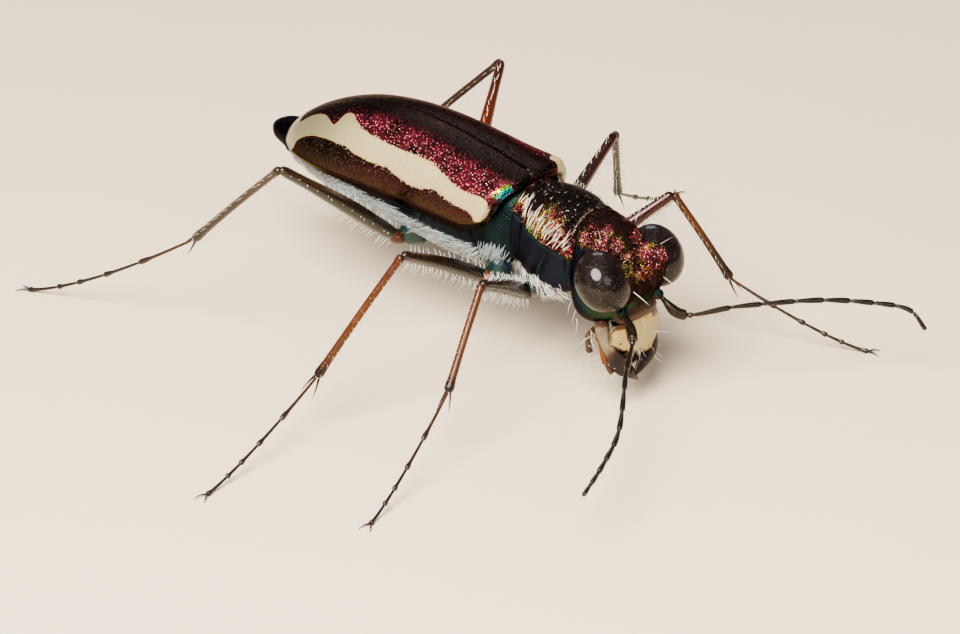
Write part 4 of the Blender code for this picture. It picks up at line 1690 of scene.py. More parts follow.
@dataclass
class NeckShield:
    """The pronotum: a rugose saddle over the front legs, with smooth blue flanks."""

    stations: tuple = (
        (-2.03, 0.80, 1.05, -0.82), (-1.97, 0.84, 1.10, -0.86), (-1.86, 0.85, 1.12, -0.92),
        (-1.72, 0.90, 1.12, -1.02), (-1.40, 0.985, 1.195, -1.16), (-1.00, 0.995, 1.200, -1.18),
        (-0.62, 0.92, 1.155, -1.08), (-0.46, 0.86, 1.10, -0.98), (-0.34, 0.86, 1.10, -0.90),
        (-0.22, 0.84, 1.10, -0.82), (-0.17, 0.80, 1.05, -0.76),
    )
    # Spots of painted highlight on the shield.
    gleams: tuple = (
        ((0.74, -1.24, 0.94), 0.22), ((0.82, -1.48, 0.80), 0.18), ((0.90, -1.05, 0.68), 0.18),
        ((0.66, -0.38, 0.80), 0.12), ((0.80, -1.66, 0.66), 0.12),
    )
    middle: float = 0.12
    fullness: float = 2.25
    margin_rear: float = 0.60
    margin_front: float = 0.20
    rows: int = 170
    columns: int = 260

    def margin_at(self, y: Array) -> Array:
        """The height of the side margin, at y."""
        return self.margin_front + (self.margin_rear - self.margin_front) * (y + 1.8) / 1.48

    def skin(self) -> Sheet:
        """The shield and its flanks as one closed skin."""
        y = np.linspace(self.stations[0][0], self.stations[-1][0], self.rows)[:, None]
        half, top, low = (through(self.stations, y[:, 0])[:, k][:, None] for k in range(3))
        turn = ring_turns(self.columns)[None]
        power = 2 / self.fullness
        reach = np.where(np.cos(turn) > 0, top - self.middle, self.middle - low)
        x = half * squared(np.sin(turn), power)
        z = self.middle + reach * squared(np.cos(turn), power)
        yy = np.broadcast_to(y, x.shape)
        skin = Sheet(np.stack([x, yy, z], -1))
        patch = gleam(self.gleams, skin.grid)
        over = ease(z - self.margin_at(yy), -0.02, 0.02)
        back = ease(z, 0.15, 0.7)
        height = -0.055 * bell(yy, -0.47, 0.07) * back
        height -= 0.034 * bell(yy, -1.76, 0.06) * back
        height -= 0.030 * bell(x, 0, 0.035) * back * ease(yy, -1.72, -1.5) * ease(-yy, 0.5, 0.7)
        height += 0.030 * bell(z, self.margin_at(yy), 0.035) * (np.abs(x) > 0.4)
        height -= 0.040 * (1 - over) * ease(z, -0.9, -0.3)
        height += 0.050 * bell(z, -0.45, 0.35) * bell(yy, -1.0, 0.45)
        height += 0.018 * bell(yy, -0.27, 0.05) + 0.018 * bell(yy, -1.93, 0.05)
        height -= (
            0.028 * bell(yy + 0.35 * (z + 0.2), -1.30, 0.035) * (z < 0.05) * ease(-z, -0.1, 0.2)
        )
        skin = skin.relief(height)
        # Where highlights are painted: beside the hair band, at the front and rear edges and in the
        # gleam spots.
        rise = z - self.margin_at(yy)
        aside = ease(-rise, -0.62, -0.22) * over
        fore = ease(-yy, 1.80, 1.90) + ease(yy, -0.40, -0.32)
        skin.marks = {
            "bright": np.clip(
                aside * (0.24 + 0.34 * ease(-yy, 0.55, 1.15))
                + (0.04 + 0.14 * fore + 1.2 * patch) * over, 0, 1
            ),
            "flank": 1 - over,
            "teal": bell(rise, -0.075, 0.035)
            + 0.8 * bell(yy + 0.35 * (z + 0.2), -1.30, 0.03) * (z < 0.1),
        }
        return skin

    def build(self) -> Sheet:
        """Lays the shield, and returns its skin for the coat."""
        skin = self.skin()
        lay("neck_shield", skin.form(), Axes.BODY, ShieldFinish(), ["pronotum"])
        return skin


@dataclass
class Head:
    """The head's capsule, run together from rounded masses, and its two eyes."""

    centre: Point = (0.0, -2.92, -0.12)
    cranium: Lump = Lump((0.0, -2.461, -0.079), (0.824, 0.795, 1.134), 2.30)
    temple: Lump = Lump((0.521, -2.516, -0.468), (0.444, 0.51, 0.783), 2.2)
    orbit: Lump = Lump((0.597, -3.177, 0.008), (0.339, 0.477, 0.594), 2.4)
    face: Lump = Lump((0.0, -3.03, -0.45), (0.70, 0.47, 0.62), 2.6)
    cheek: Lump = Lump((0.58, -2.86, -0.60), (0.38, 0.46, 0.48))
    neck: Lump = Lump((0.0, -2.12, 0.185), (0.72, 0.55, 0.912), 2.4)
    plate: Lump = Lump((0.0, -3.34, -0.90), (0.64, 0.17, 0.15), 2.8)
    chin: Lump = Lump((0.0, -2.82, -1.02), (0.46, 0.46, 0.20), 2.3)
    hollow: Lump = Lump((0.0, -3.424, 0.98), (0.337, 0.486, 0.456))
    socket: Lump = Lump((0.60, -3.47, -0.66), (0.12, 0.10, 0.12))
    # Spots of painted highlight on the head.
    gleams: tuple = (
        ((0.62, -2.25, 0.76), 0.22), ((0.62, -2.66, 0.68), 0.22), ((0.50, -2.40, 0.90), 0.16),
        ((0.39, -2.64, 0.95), 0.17), ((0.35, -2.98, 0.75), 0.20), ((0.24, -3.18, 0.41), 0.20),
        ((0.12, -3.38, 0.08), 0.17), ((0.39, -3.22, 0.48), 0.22), ((0.52, -3.46, 0.44), 0.20),
        ((0.38, -3.40, 0.20), 0.16),
    )
    eye_centre: Point = (0.89, -3.064, 0.064)
    eye_radii: Point = (0.626, 0.719, 0.573)
    eye_dip: float = 0.811
    eye_rows: int = 110
    eye_columns: int = 160
    rows: int = 190
    columns: int = 300

    def depth(self, at: Array) -> Array:
        """How far points are outside the capsule.

        Args:
            at: The points.

        Returns:
            The distances, negative inside it.
        """
        mass = melt(self.cranium.depth(at), self.face.depth(at), 0.22)
        for lump in (self.cheek, self.cheek.mirrored(), self.temple, self.temple.mirrored()):
            mass = melt(mass, lump.depth(at), 0.16)
        mass = melt(mass, self.neck.depth(at), 0.12)
        mass = melt(mass, self.chin.depth(at), 0.12)
        for lump in (self.orbit, self.orbit.mirrored()):
            mass = melt(mass, lump.depth(at), 0.10)
        mass = scoop(mass, self.hollow.depth(at), 0.16)
        mass = melt(mass, self.plate.depth(at), 0.05)
        for lump in (self.socket, self.socket.mirrored()):
            mass = melt(mass, lump.depth(at), 0.06)
        return mass

    def skin(self) -> Sheet:
        """The capsule's skin, with its poles inside the eyes."""
        way = globe(self.rows, self.columns, 80)
        grid = cast(self.depth, np.array(self.centre), way, 2.4)
        skin = Sheet(grid)
        x, y, z = (grid[..., k] for k in range(3))
        groove = np.zeros(x.shape)
        for side in Side:
            away = grid - np.array(self.eye_centre) * (side.value, 1, 1)
            r = np.linalg.norm(away @ self.eye_turn() / np.array(self.eye_radii), axis=-1)
            groove += bell(r, 1.03, 0.05)
        height = -0.035 * groove
        height -= 0.030 * bell(z, -0.72, 0.030) * (y < -3.1) * (np.abs(x) < 0.62)
        height -= 0.020 * bell(y, -2.30, 0.04) * ease(z, -0.2, 0.3)
        height += (
            0.006 * np.sin(x * 62) * ease(z, 0.1, 0.5) * ease(-y, 2.6, 3.0)
            * ease(np.abs(x), 0.1, 0.3)
        )
        skin = skin.relief(height)
        near_eye = np.clip(groove, 0, 1)
        wide = np.abs(x)
        low = ease(-z, 0.38, 0.52) * ease(wide, 0.20, 0.42)
        band = ease(-z, 0.34, 0.58) * ease(-wide, -0.66, -0.36) * ease(-y, 3.05, 3.20)
        low = np.maximum(low, (0.45 + 0.40 * ease(wide, 0.05, 0.32)) * band)
        pit = bell(np.sqrt((wide - 0.60) ** 2 + (y + 3.52) ** 2 + (z + 0.68) ** 2), 0, 0.15)
        temple = ease(y, -2.90, -2.70) * ease(-z, -0.62, -0.40) * ease(wide, 0.40, 0.60)
        plate = (
            ease(z, -1.04, -1.00) * ease(-z, 0.66, 0.76) * (y < -3.05) * ease(-wide, -0.70, -0.62)
        )
        skin.marks = {
            # Painted highlight patches, from the gleam spots.
            "bright": gleam(self.gleams, grid),
            "cheek": np.clip(np.maximum(low, temple), 0, 1),
            "plate": np.clip(plate, 0, 1),
            "ridged": ease(-y, 2.9, 3.2) * ease(z, -0.6, -0.1) * (1 - low),
            "lean": 0.28 * ease(y, -2.75, -2.45) * ease(wide, 0.35, 0.6) - 0.08 * near_eye,
            "hue": 0.34 + 0.22 * ease(-y, 2.20, 2.80) * ease(-z, -0.1, 0.4)
            + 0.16 * ease(-y, 2.95, 3.25) - 0.14 * ease(-wide, -0.45, -0.20) - 0.40 * pit,
        }
        return skin

    def eye_turn(self) -> Array:
        """The eye's own axes as columns: across, along its dipped length, and over it."""
        run, dip = math.cos(self.eye_dip), math.sin(self.eye_dip)
        return np.array([[1.0, 0.0, 0.0], [0.0, run, -dip], [0.0, dip, run]])

    def eye(self, side: Side) -> Sheet:
        """One compound eye, a little flattened where it meets the head.

        Args:
            side: The side that it is on.

        Returns:
            Its skin.
        """
        way = globe(self.eye_rows, self.eye_columns, 88)
        grid = np.array(self.eye_radii) * way @ self.eye_turn().T + np.array(self.eye_centre)
        grid[..., 0] = np.maximum(grid[..., 0], 0.42) * side.value
        return Sheet(grid)

    def build(self) -> None:
        """Lays the head and the eyes."""
        lay("head_capsule", self.skin().form(), Axes.BODY, HeadFinish(), ["head"])
        for side in Side:
            name = f"eye_{side.word}"
            lay(
                f"compound_{name}", self.eye(side).form(), Axes.BODY, EyeFinish(),
                [name]
            )


@dataclass
class Mouth:
    """The upper lip, the jaws crossed under it, and the two pairs of palps."""

    lip_half_width: float = 0.80
    lip_top: float = -1.00
    lip_bottom: float = -1.76
    lip_front: float = -3.53
    lip_thickness: float = 0.13
    lip_skew: float = 0.42
    jaw_paths: dict = field(default_factory=lambda: {
        Side.LEFT: (
            (0.68, -2.92, -1.02), (0.74, -3.06, -1.34), (0.64, -3.27, -1.80),
            (0.40, -3.41, -2.10), (0.06, -3.50, -2.32), (-0.16, -3.53, -2.46),
        ),
        Side.RIGHT: (
            (0.68, -2.92, -1.02), (0.72, -3.06, -1.34), (0.62, -3.27, -1.80),
            (0.42, -3.41, -2.12), (0.15, -3.48, -2.37), (-0.10, -3.48, -2.64),
        ),
    })
    jaw_widths: tuple = (
        (0, 0.16), (0.2, 0.15), (0.38, 0.16), (0.54, 0.25), (0.75, 0.17), (1, 0.020)
    )
    jaw_depths: tuple = ((0, 0.17), (0.3, 0.15), (0.7, 0.09), (1, 0.016))
    teeth: tuple = ((0.48, 0.34, -0.02), (0.61, 0.32, -0.08), (0.76, 0.24, -0.12))
    gullet_path: tuple = (
        (0.0, -2.85, -1.10), (0.02, -3.12, -1.55), (0.06, -3.26, -1.98), (0.02, -3.32, -2.28)
    )
    gullet_radii: tuple = ((0, 0.30), (0.4, 0.40), (0.75, 0.30), (1, 0.10))
    sockets: tuple = ((-0.58, -1.47), (-0.30, -1.66), (0.01, -1.78), (0.36, -1.84), (0.55, -1.81))
    palp_path: tuple = (
        (0.45, -2.90, -1.20), (0.80, -2.95, -1.38), (0.78, -3.02, -1.50), (0.75, -3.22, -2.02),
        (0.70, -3.38, -2.22),
    )
    inner_palp_path: tuple = (
        (0.20, -2.70, -1.20), (0.45, -2.60, -1.45), (0.75, -2.65, -1.62), (0.72, -2.70, -1.95),
    )

    def lip(self) -> Sheet:
        """The upper lip: a broad curved plate with a middle tooth and scalloped sides."""
        rows, ring = 150, 84
        x = self.lip_half_width * np.sin(np.linspace(-np.pi / 2, np.pi / 2, rows))[:, None]
        out = np.abs(x) / self.lip_half_width
        top = self.lip_top - 0.05 * out**2 - 0.10 * ease(out, 0.85, 1.0)
        low = self.lip_bottom + 0.30 * out ** np.where(x > 0, 5.0, 2.4) - 0.13 * bell(x, 0, 0.07)
        low = low - self.lip_skew * np.clip((x + 0.30) / 1.1, 0, 1) ** 1.15
        low = low - 0.035 * bell(np.abs(x), 0.26, 0.06) - 0.030 * bell(np.abs(x), 0.46, 0.06)
        low = np.minimum(low, top - 0.03)
        turn = ring_turns(ring)[None]
        up = squared(np.cos(turn), 0.55)
        fore = squared(np.sin(turn), 0.8)
        z = (top + low) / 2 + (top - low) / 2 * up
        share = (top - z) / np.maximum(top - low, 0.05)
        front = self.lip_front + 0.22 * out**2 - 0.06 * np.sin(np.pi * np.clip(share, 0, 1))
        front = front + 0.02 * bell(x, 0, 0.05) * (share < 0.85)
        thick = self.lip_thickness * (1 - 0.65 * share) * (1 - 0.5 * out**4)
        y = front + thick / 2 - thick / 2 * fore
        grid = np.stack([np.broadcast_to(x, y.shape), y, z], -1)
        rim = np.maximum(ease(share, 0.80, 1.0) * 0.9, ease(out, 0.90, 1.0) * 0.8)
        socket = np.zeros(y.shape)
        for at, height in self.sockets:
            socket = np.maximum(socket, ease(-np.hypot(x - at, z - height), -0.034, -0.022))
        rim = np.maximum(rim, ease(-share, -0.22, -0.12) * ease(out, 0.35, 0.60))
        rim = np.maximum(rim, 0.55 * ease(-share, -0.14, -0.02)) + 0.0 * y
        return Sheet(grid, {"rim": rim, "socket": socket, "reach": np.clip(share, 0, 1) + 0.0 * y})

    def jaw(self, side: Side) -> Form:
        """One sickle jaw with its inner teeth.

        Args:
            side: The side that it is on.

        Returns:
            Its faces.
        """
        count = 90
        path = curve(self.jaw_paths[side], count)
        wide, deep = girths(self.jaw_widths, count, 0.02), girths(self.jaw_depths, count, 0.02)
        forms = [swept(path, wide, deep, 36, (0, -1, 0)).form()]
        for place, size, drop in self.teeth:
            root = path[int(place * (count - 1))]
            tip = root + np.array([-size * 1.25, -0.02, drop])
            spine = curve((root, (root + tip) / 2 + (0, 0, -0.02), tip), 24)
            taper = rounded(np.linspace(0.135, 0.012, 24), 0.04)
            tooth = swept(spine, taper, taper * 0.8, 16, (0, -1, 0))
            tooth.marks["reach"] = tooth.marks["reach"] * 0.2 + 0.8
            forms.append(tooth.form())
        form = Form.joined(forms)
        form.marks["reach"] = form.marks["reach"] - 0.04 * (side is Side.LEFT)
        return form.on(side)

    def gullet(self) -> Form:
        """The dark mass of inner mouthparts that fills the room between the jaws; its dark tint is
        partly painted shade.
        """
        count = 60
        spine = curve(self.gullet_path, count)
        size = through(self.gullet_radii, np.linspace(0, 1, count))[:, 0]
        folds = 1 + 0.06 * np.sin(np.linspace(0, 22, count))
        wide, deep = rounded(size * folds, 0.06), rounded(size * 0.38, 0.06)
        return swept(spine, wide, deep, 48, (0, -1, 0)).form()

    def palp(
        self, path: Sequence[Point], joints: Sequence[float], radii: Sequence[float], side: Side
    ) -> Form:
        """One palp as a chain of clubbed joints.

        Args:
            path: The points that it passes through.
            joints: Where its joints are, as shares of its length.
            radii: The radius of each length between two joints.
            side: The side that it is on.

        Returns:
            The palp's faces.
        """
        count = 120
        spine = curve(path, count)
        at = np.linspace(0, 1, count)
        radius = np.zeros(count)
        for low, high, size in zip(joints, joints[1:], radii):
            share = (at - low) / (high - low)
            inside = (share >= 0) & (share <= 1)
            shape = 0.62 + 0.38 * ease(share, 0.0, 0.75)
            pinch = np.sqrt(
                np.clip(1 - np.maximum(np.abs(share - 0.5) * 2 - 0.86, 0) ** 2 / 0.0225, 0, 1)
            )
            radius[inside] = (size * shape * pinch)[inside]
        radius = np.maximum(radius, 0.02)
        return swept(spine, radius, radius, 22).form().on(side)

    def build(self) -> None:
        """Lays the lip, the jaws and the palps."""
        lay("upper_lip", self.lip().form(), Axes.BODY, LipFinish(), ["labrum"])
        jaw = HornFinish(
            "jaw_ivory_to_black",
            ((0.0, (0.05, 0.022, 0.014)), (0.07, (0.10, 0.05, 0.030)),
             (0.11, (0.19, 0.155, 0.105)), (0.34, (0.19, 0.155, 0.095)),
             (0.40, (0.055, 0.026, 0.020)), (0.47, (0.022, 0.014, 0.013)),
             (0.92, (0.014, 0.009, 0.009)), (1.0, (0.16, 0.06, 0.03))),
            rough=0.28, coat=0.10, pitch=9.0, rise=0.004, shine=0.20,
        )
        palp = HornFinish(
            "palp_orange_to_black",
            ((0.0, (0.10, 0.032, 0.010)), (0.45, (0.13, 0.036, 0.009)),
             (0.76, (0.14, 0.045, 0.012)), (0.86, (0.075, 0.030, 0.012)),
             (1.0, (0.060, 0.025, 0.012))),
            rough=0.34, coat=0.12, glow=0.06, shine=0.25,
        )
        brown = HornFinish(
            "palp_brown",
            ((0.0, (0.08, 0.032, 0.014)), (0.5, (0.10, 0.042, 0.018)), (0.8, (0.06, 0.030, 0.018)),
             (1.0, (0.05, 0.030, 0.020))),
            rough=0.34, coat=0.12, shine=0.25,
        )
        # The inner mouthparts' tint, dark partly as painted shade between the jaws.
        dark = HornFinish(
            "mouth_parts_and_shade", (
                (0.0, (0.110, 0.055, 0.035)), (0.3, (0.050, 0.026, 0.018)),
                (1.0, (0.022, 0.012, 0.010))
            ),
            rough=0.34, coat=0.10, pitch=12.0, shine=0.20,
        )
        lay("inner_mouth", self.gullet(), Axes.BODY, dark)
        for side in Side:
            lay(
                f"jaw_{side.word}", self.jaw(side), Axes.BODY, jaw, [f"mandible_{side.word}"]
            )
            outer = self.palp(
                self.palp_path, (0, 0.29, 0.40, 0.81, 1), (0.075, 0.080, 0.080, 0.058), side
            )
            inner = self.palp(self.inner_palp_path, (0, 0.35, 0.68, 1), (0.07, 0.080, 0.080), side)
            lay(f"outer_palp_{side.word}", outer, Axes.BODY, palp, [f"palp_{side.word}"])
            lay(f"inner_palp_{side.word}", inner, Axes.BODY, brown)


@dataclass
class Feelers:
    """The two feelers, each of eleven joints."""

    paths: dict = field(default_factory=lambda: {
        Side.LEFT: (
            (0.60, -3.46, 2.46), (0.90, -3.92, 2.06), (1.94, -4.61, 2.12), (3.35, -5.70, 2.12),
            (4.30, -6.52, 1.98), (4.88, -7.08, 1.78), (5.04, -7.45, 1.34),
        ),
        Side.RIGHT: (
            (-0.60, -3.44, 2.50), (-0.88, -3.94, 2.15), (-1.91, -4.66, 1.94), (-3.46, -5.83, 1.60),
            (-4.60, -6.40, 1.45), (-5.79, -6.89, 1.35),
        ),
    })
    seed: int = 31
    joint_lengths: tuple = (0.78, 0.13, 0.92, 0.74, 0.78, 0.68, 0.62, 0.56, 0.50, 0.46, 0.52)
    joint_radii: tuple = (
        0.122, 0.070, 0.066, 0.062, 0.064, 0.066, 0.066, 0.064, 0.062, 0.058, 0.052
    )

    def form(self, side: Side) -> Form:
        """One feeler, each joint slender at its root and clubbed at its tip.

        Args:
            side: The side that it is on.

        Returns:
            Its faces.
        """
        count = 560
        spine = curve(self.paths[side], count)
        ends = np.concatenate([[0], np.cumsum(self.joint_lengths)])
        ends = ends / ends[-1]
        at = np.linspace(0, 1, count)
        radius = np.zeros(count)
        for k, size in enumerate(self.joint_radii):
            share = np.clip((at - ends[k]) / (ends[k + 1] - ends[k]), 0, 1)
            inside = (at >= ends[k]) & (at <= ends[k + 1])
            narrow = 0.42 if k == 0 else 0.66
            shape = narrow + (1 - narrow) * ease(share, 0.0, 0.7 if k else 0.6)
            pinch = (
                1 - 0.45 * bell(share, 1.0, 0.05 if k != 1 else 0.2) - 0.25 * bell(share, 0.0, 0.05)
            )
            radius[inside] = (size * shape * pinch)[inside]
        radius = rounded(radius, 0.006)
        return swept(spine, radius, radius, 24).form()

    def bristles(self, side: Side) -> Form:
        """Short down along the outer joints.

        Args:
            side: The feeler's side.

        Returns:
            The down as one form.
        """
        rings = 200
        thick = np.full(rings, 0.05)
        skin = swept(curve(self.paths[side], rings), thick, thick, 16)
        coat = Coat(self.seed + (side is Side.RIGHT), rings=2)
        spine = skin.grid.mean(axis=1)
        lead = unit(np.gradient(spine, axis=0))

        def nearest(at: Array) -> Array:
            """The ring that each point is nearest to."""
            return np.argmin(((at[:, None] - spine[None]) ** 2).sum(-1), axis=1)

        def forward(at: Array) -> Array:
            """The way from root to tip of the feeler."""
            return lead[nearest(at)]

        def outer(at: Array) -> Array:
            """Only the outer seven joints are downy."""
            return ease(nearest(at) / rings, 0.36, 0.44)

        count = 1500
        coat.cover(skin, count, outer, forward, (0.05, 0.09), 0.0055, lift=0.8)
        return coat.form()

    def build(self) -> None:
        """Lays both feelers."""
        finish = HornFinish(
            "feeler_bronze_to_grey",
            ((0.0, (0.018, 0.012, 0.008)), (0.14, (0.034, 0.022, 0.010)),
             (0.36, (0.016, 0.011, 0.009)), (0.50, (0.016, 0.012, 0.011)),
             (1.0, (0.020, 0.015, 0.014))),
            metal=0.55, rough=0.22, coat=0.25, pitch=30.0,
        )
        down = HairFinish("feeler_down", (0.06, 0.05, 0.04), (0.22, 0.19, 0.16), 0.5)
        for side in Side:
            parts = [f"antenna_{side.word}_{k}" for k in ("scape", "base", "middle", "tip")]
            lay(f"feeler_{side.word}", self.form(side), Axes.STANCE, finish, parts)
            lay(f"feeler_down_{side.word}", self.bristles(side), Axes.STANCE, down)


# Hind body


@dataclass
class HindBody:
    """The thorax between the legs and the abdomen under the wing cases."""

    stations: tuple = (
        (-0.34, 0.66, 0.85, -0.74), (-0.15, 0.80, 0.95, -0.90), (0.05, 0.94, 1.00, -1.00),
        (0.60, 1.15, 1.02, -1.18), (1.60, 1.27, 1.02, -1.24), (2.70, 1.28, 1.02, -1.22),
        (4.00, 1.33, 1.02, -1.24), (5.20, 1.25, 0.80, -1.20), (6.20, 0.98, 0.20, -1.10),
        (6.80, 0.66, -0.22, -1.02), (7.20, 0.50, -0.36, -0.97), (7.48, 0.38, -0.43, -0.92),
        (7.66, 0.26, -0.50, -0.86), (7.75, 0.15, -0.57, -0.79), (7.79, 0.04, -0.66, -0.70),
    )
    split: float = 2.98
    ring_edges: tuple = (3.62, 4.40, 5.12, 5.78, 6.36, 6.88)
    columns: int = 200

    def skin(self, low: float, high: float, rows: int) -> Sheet:
        """A length of the hind body.

        Args:
            low: Where it starts.
            high: Where it ends.
            rows: How many rings it has.

        Returns:
            Its skin.
        """
        y = np.linspace(low, high, rows)[:, None]
        half, top, low_z = (through(self.stations, y[:, 0])[:, k][:, None] for k in range(3))
        turn = ring_turns(self.columns)[None]
        middle = np.minimum(np.minimum(-0.25, (top + low_z) / 2 + 0.35), top - 0.45 * (top - low_z))
        reach = np.where(np.cos(turn) > 0, top - middle, middle - low_z)
        x = half * squared(np.sin(turn), 0.9)
        z = middle + reach * squared(np.cos(turn), 0.9)
        return Sheet(np.stack([x, np.broadcast_to(y, x.shape), z], -1))

    def thorax(self) -> Sheet:
        """The thorax, with its side plates parted by grooves."""
        skin = self.skin(-0.34, self.split + 0.12, 200)
        x, y, z = (skin.grid[..., k] for k in range(3))
        below = ease(z, 0.35, 0.15)
        seams = [
            bell(y - 0.45 * (z + 0.4), 0.48, 0.035) * below,
            bell(z + 0.12 * (y - 1.5), -0.55, 0.030) * ease(y, 0.45, 0.60) * ease(-y, -2.5, -2.3),
            bell(y + 0.50 * (z + 0.9), 2.36, 0.035) * below,
            bell(np.abs(x), 0.0, 0.03) * (z < -0.6),
        ]
        height = -0.030 * np.clip(sum(seams), 0, 1)
        height += 0.035 * bell(z, -0.30, 0.22) * bell(y, 1.4, 0.8)
        skin = skin.relief(height)
        blank = np.zeros(x.shape)
        silk = ease(-z, 0.34, 0.44) * ease(y, 0.35, 0.60) * 0.22
        green = 0.10 * ease(-y, -0.45, -0.25)
        skin.marks = {"tail": blank, "seam": blank, "silk": silk, "hue": green}
        return skin

    def abdomen(self) -> Sheet:
        """The abdomen, each plate stepping in where the next one slides under it."""
        skin = self.skin(self.split - 0.02, self.stations[-1][0], 330)
        y, z = skin.grid[..., 1], skin.grid[..., 2]
        height, seam = np.zeros(y.shape), np.zeros(y.shape)
        edges = (self.split, *self.ring_edges, 7.60)
        for low, high in zip(edges, edges[1:]):
            share = (y - low) / (high - low)
            inside = (share >= 0) & (share < 1)
            height = np.where(inside, 0.035 * share**2 - 0.012, height)
            seam = np.maximum(seam, bell(y, high, 0.030))
        skin = skin.relief(height * ease(-z, -0.3, 0.1) * ease(7.7 - y, 0.0, 0.3))
        skin.marks = {
            "tail": ease(y, 5.6, 6.4),
            "seam": seam * ease(y, 6.7, 6.9) * 0.55,
            "silk": ease(-z, 0.36, 0.50) * ease(-y, -6.6, -5.6) * 0.40,
            "hue": np.zeros(y.shape),
        }
        return skin

    def scutellum(self) -> Sheet:
        """The small pointed plate between the roots of the wing cases."""
        y = np.linspace(-0.24, 0.22, 60)
        wide = np.maximum(0.20 * (1 - ease(y, -0.16, 0.22)) ** 0.9, 0.012)
        deep = np.maximum(0.08 * (1 - ease(y, 0.0, 0.22)), 0.010)
        spine = np.stack([0 * y, y, 1.170 + 0.060 * ease(y, -0.24, 0.0) + 0.01 * y], -1)
        skin = swept(spine, rounded(wide, 0.08), rounded(deep, 0.08), 40)
        # A faint share of painted highlight facets.
        skin.marks |= {"bright": 0.1 + 0 * skin.marks["reach"], "flank": 0 * skin.marks["reach"]}
        return skin

    def build(self) -> tuple[Sheet, Sheet]:
        """Lays the hind body, and returns its two skins for the coat."""
        thorax, abdomen = self.thorax(), self.abdomen()
        lay("thorax_plates", thorax.form(), Axes.BODY, FlankFinish(), ["thorax"])
        lay(
            "abdomen_rings", abdomen.form(), Axes.BODY, FlankFinish(), ["abdomen"]
        )
        lay("scutellum", self.scutellum().form(), Axes.BODY, ShieldFinish())
        return thorax, abdomen


# Legs


@dataclass(frozen=True)
class LegTints:
    """The tints of one leg, each a run from the root to the tip of its length."""

    thigh: tuple
    shin: tuple
    bean: Tint
    under: Tint | None
    metal: float


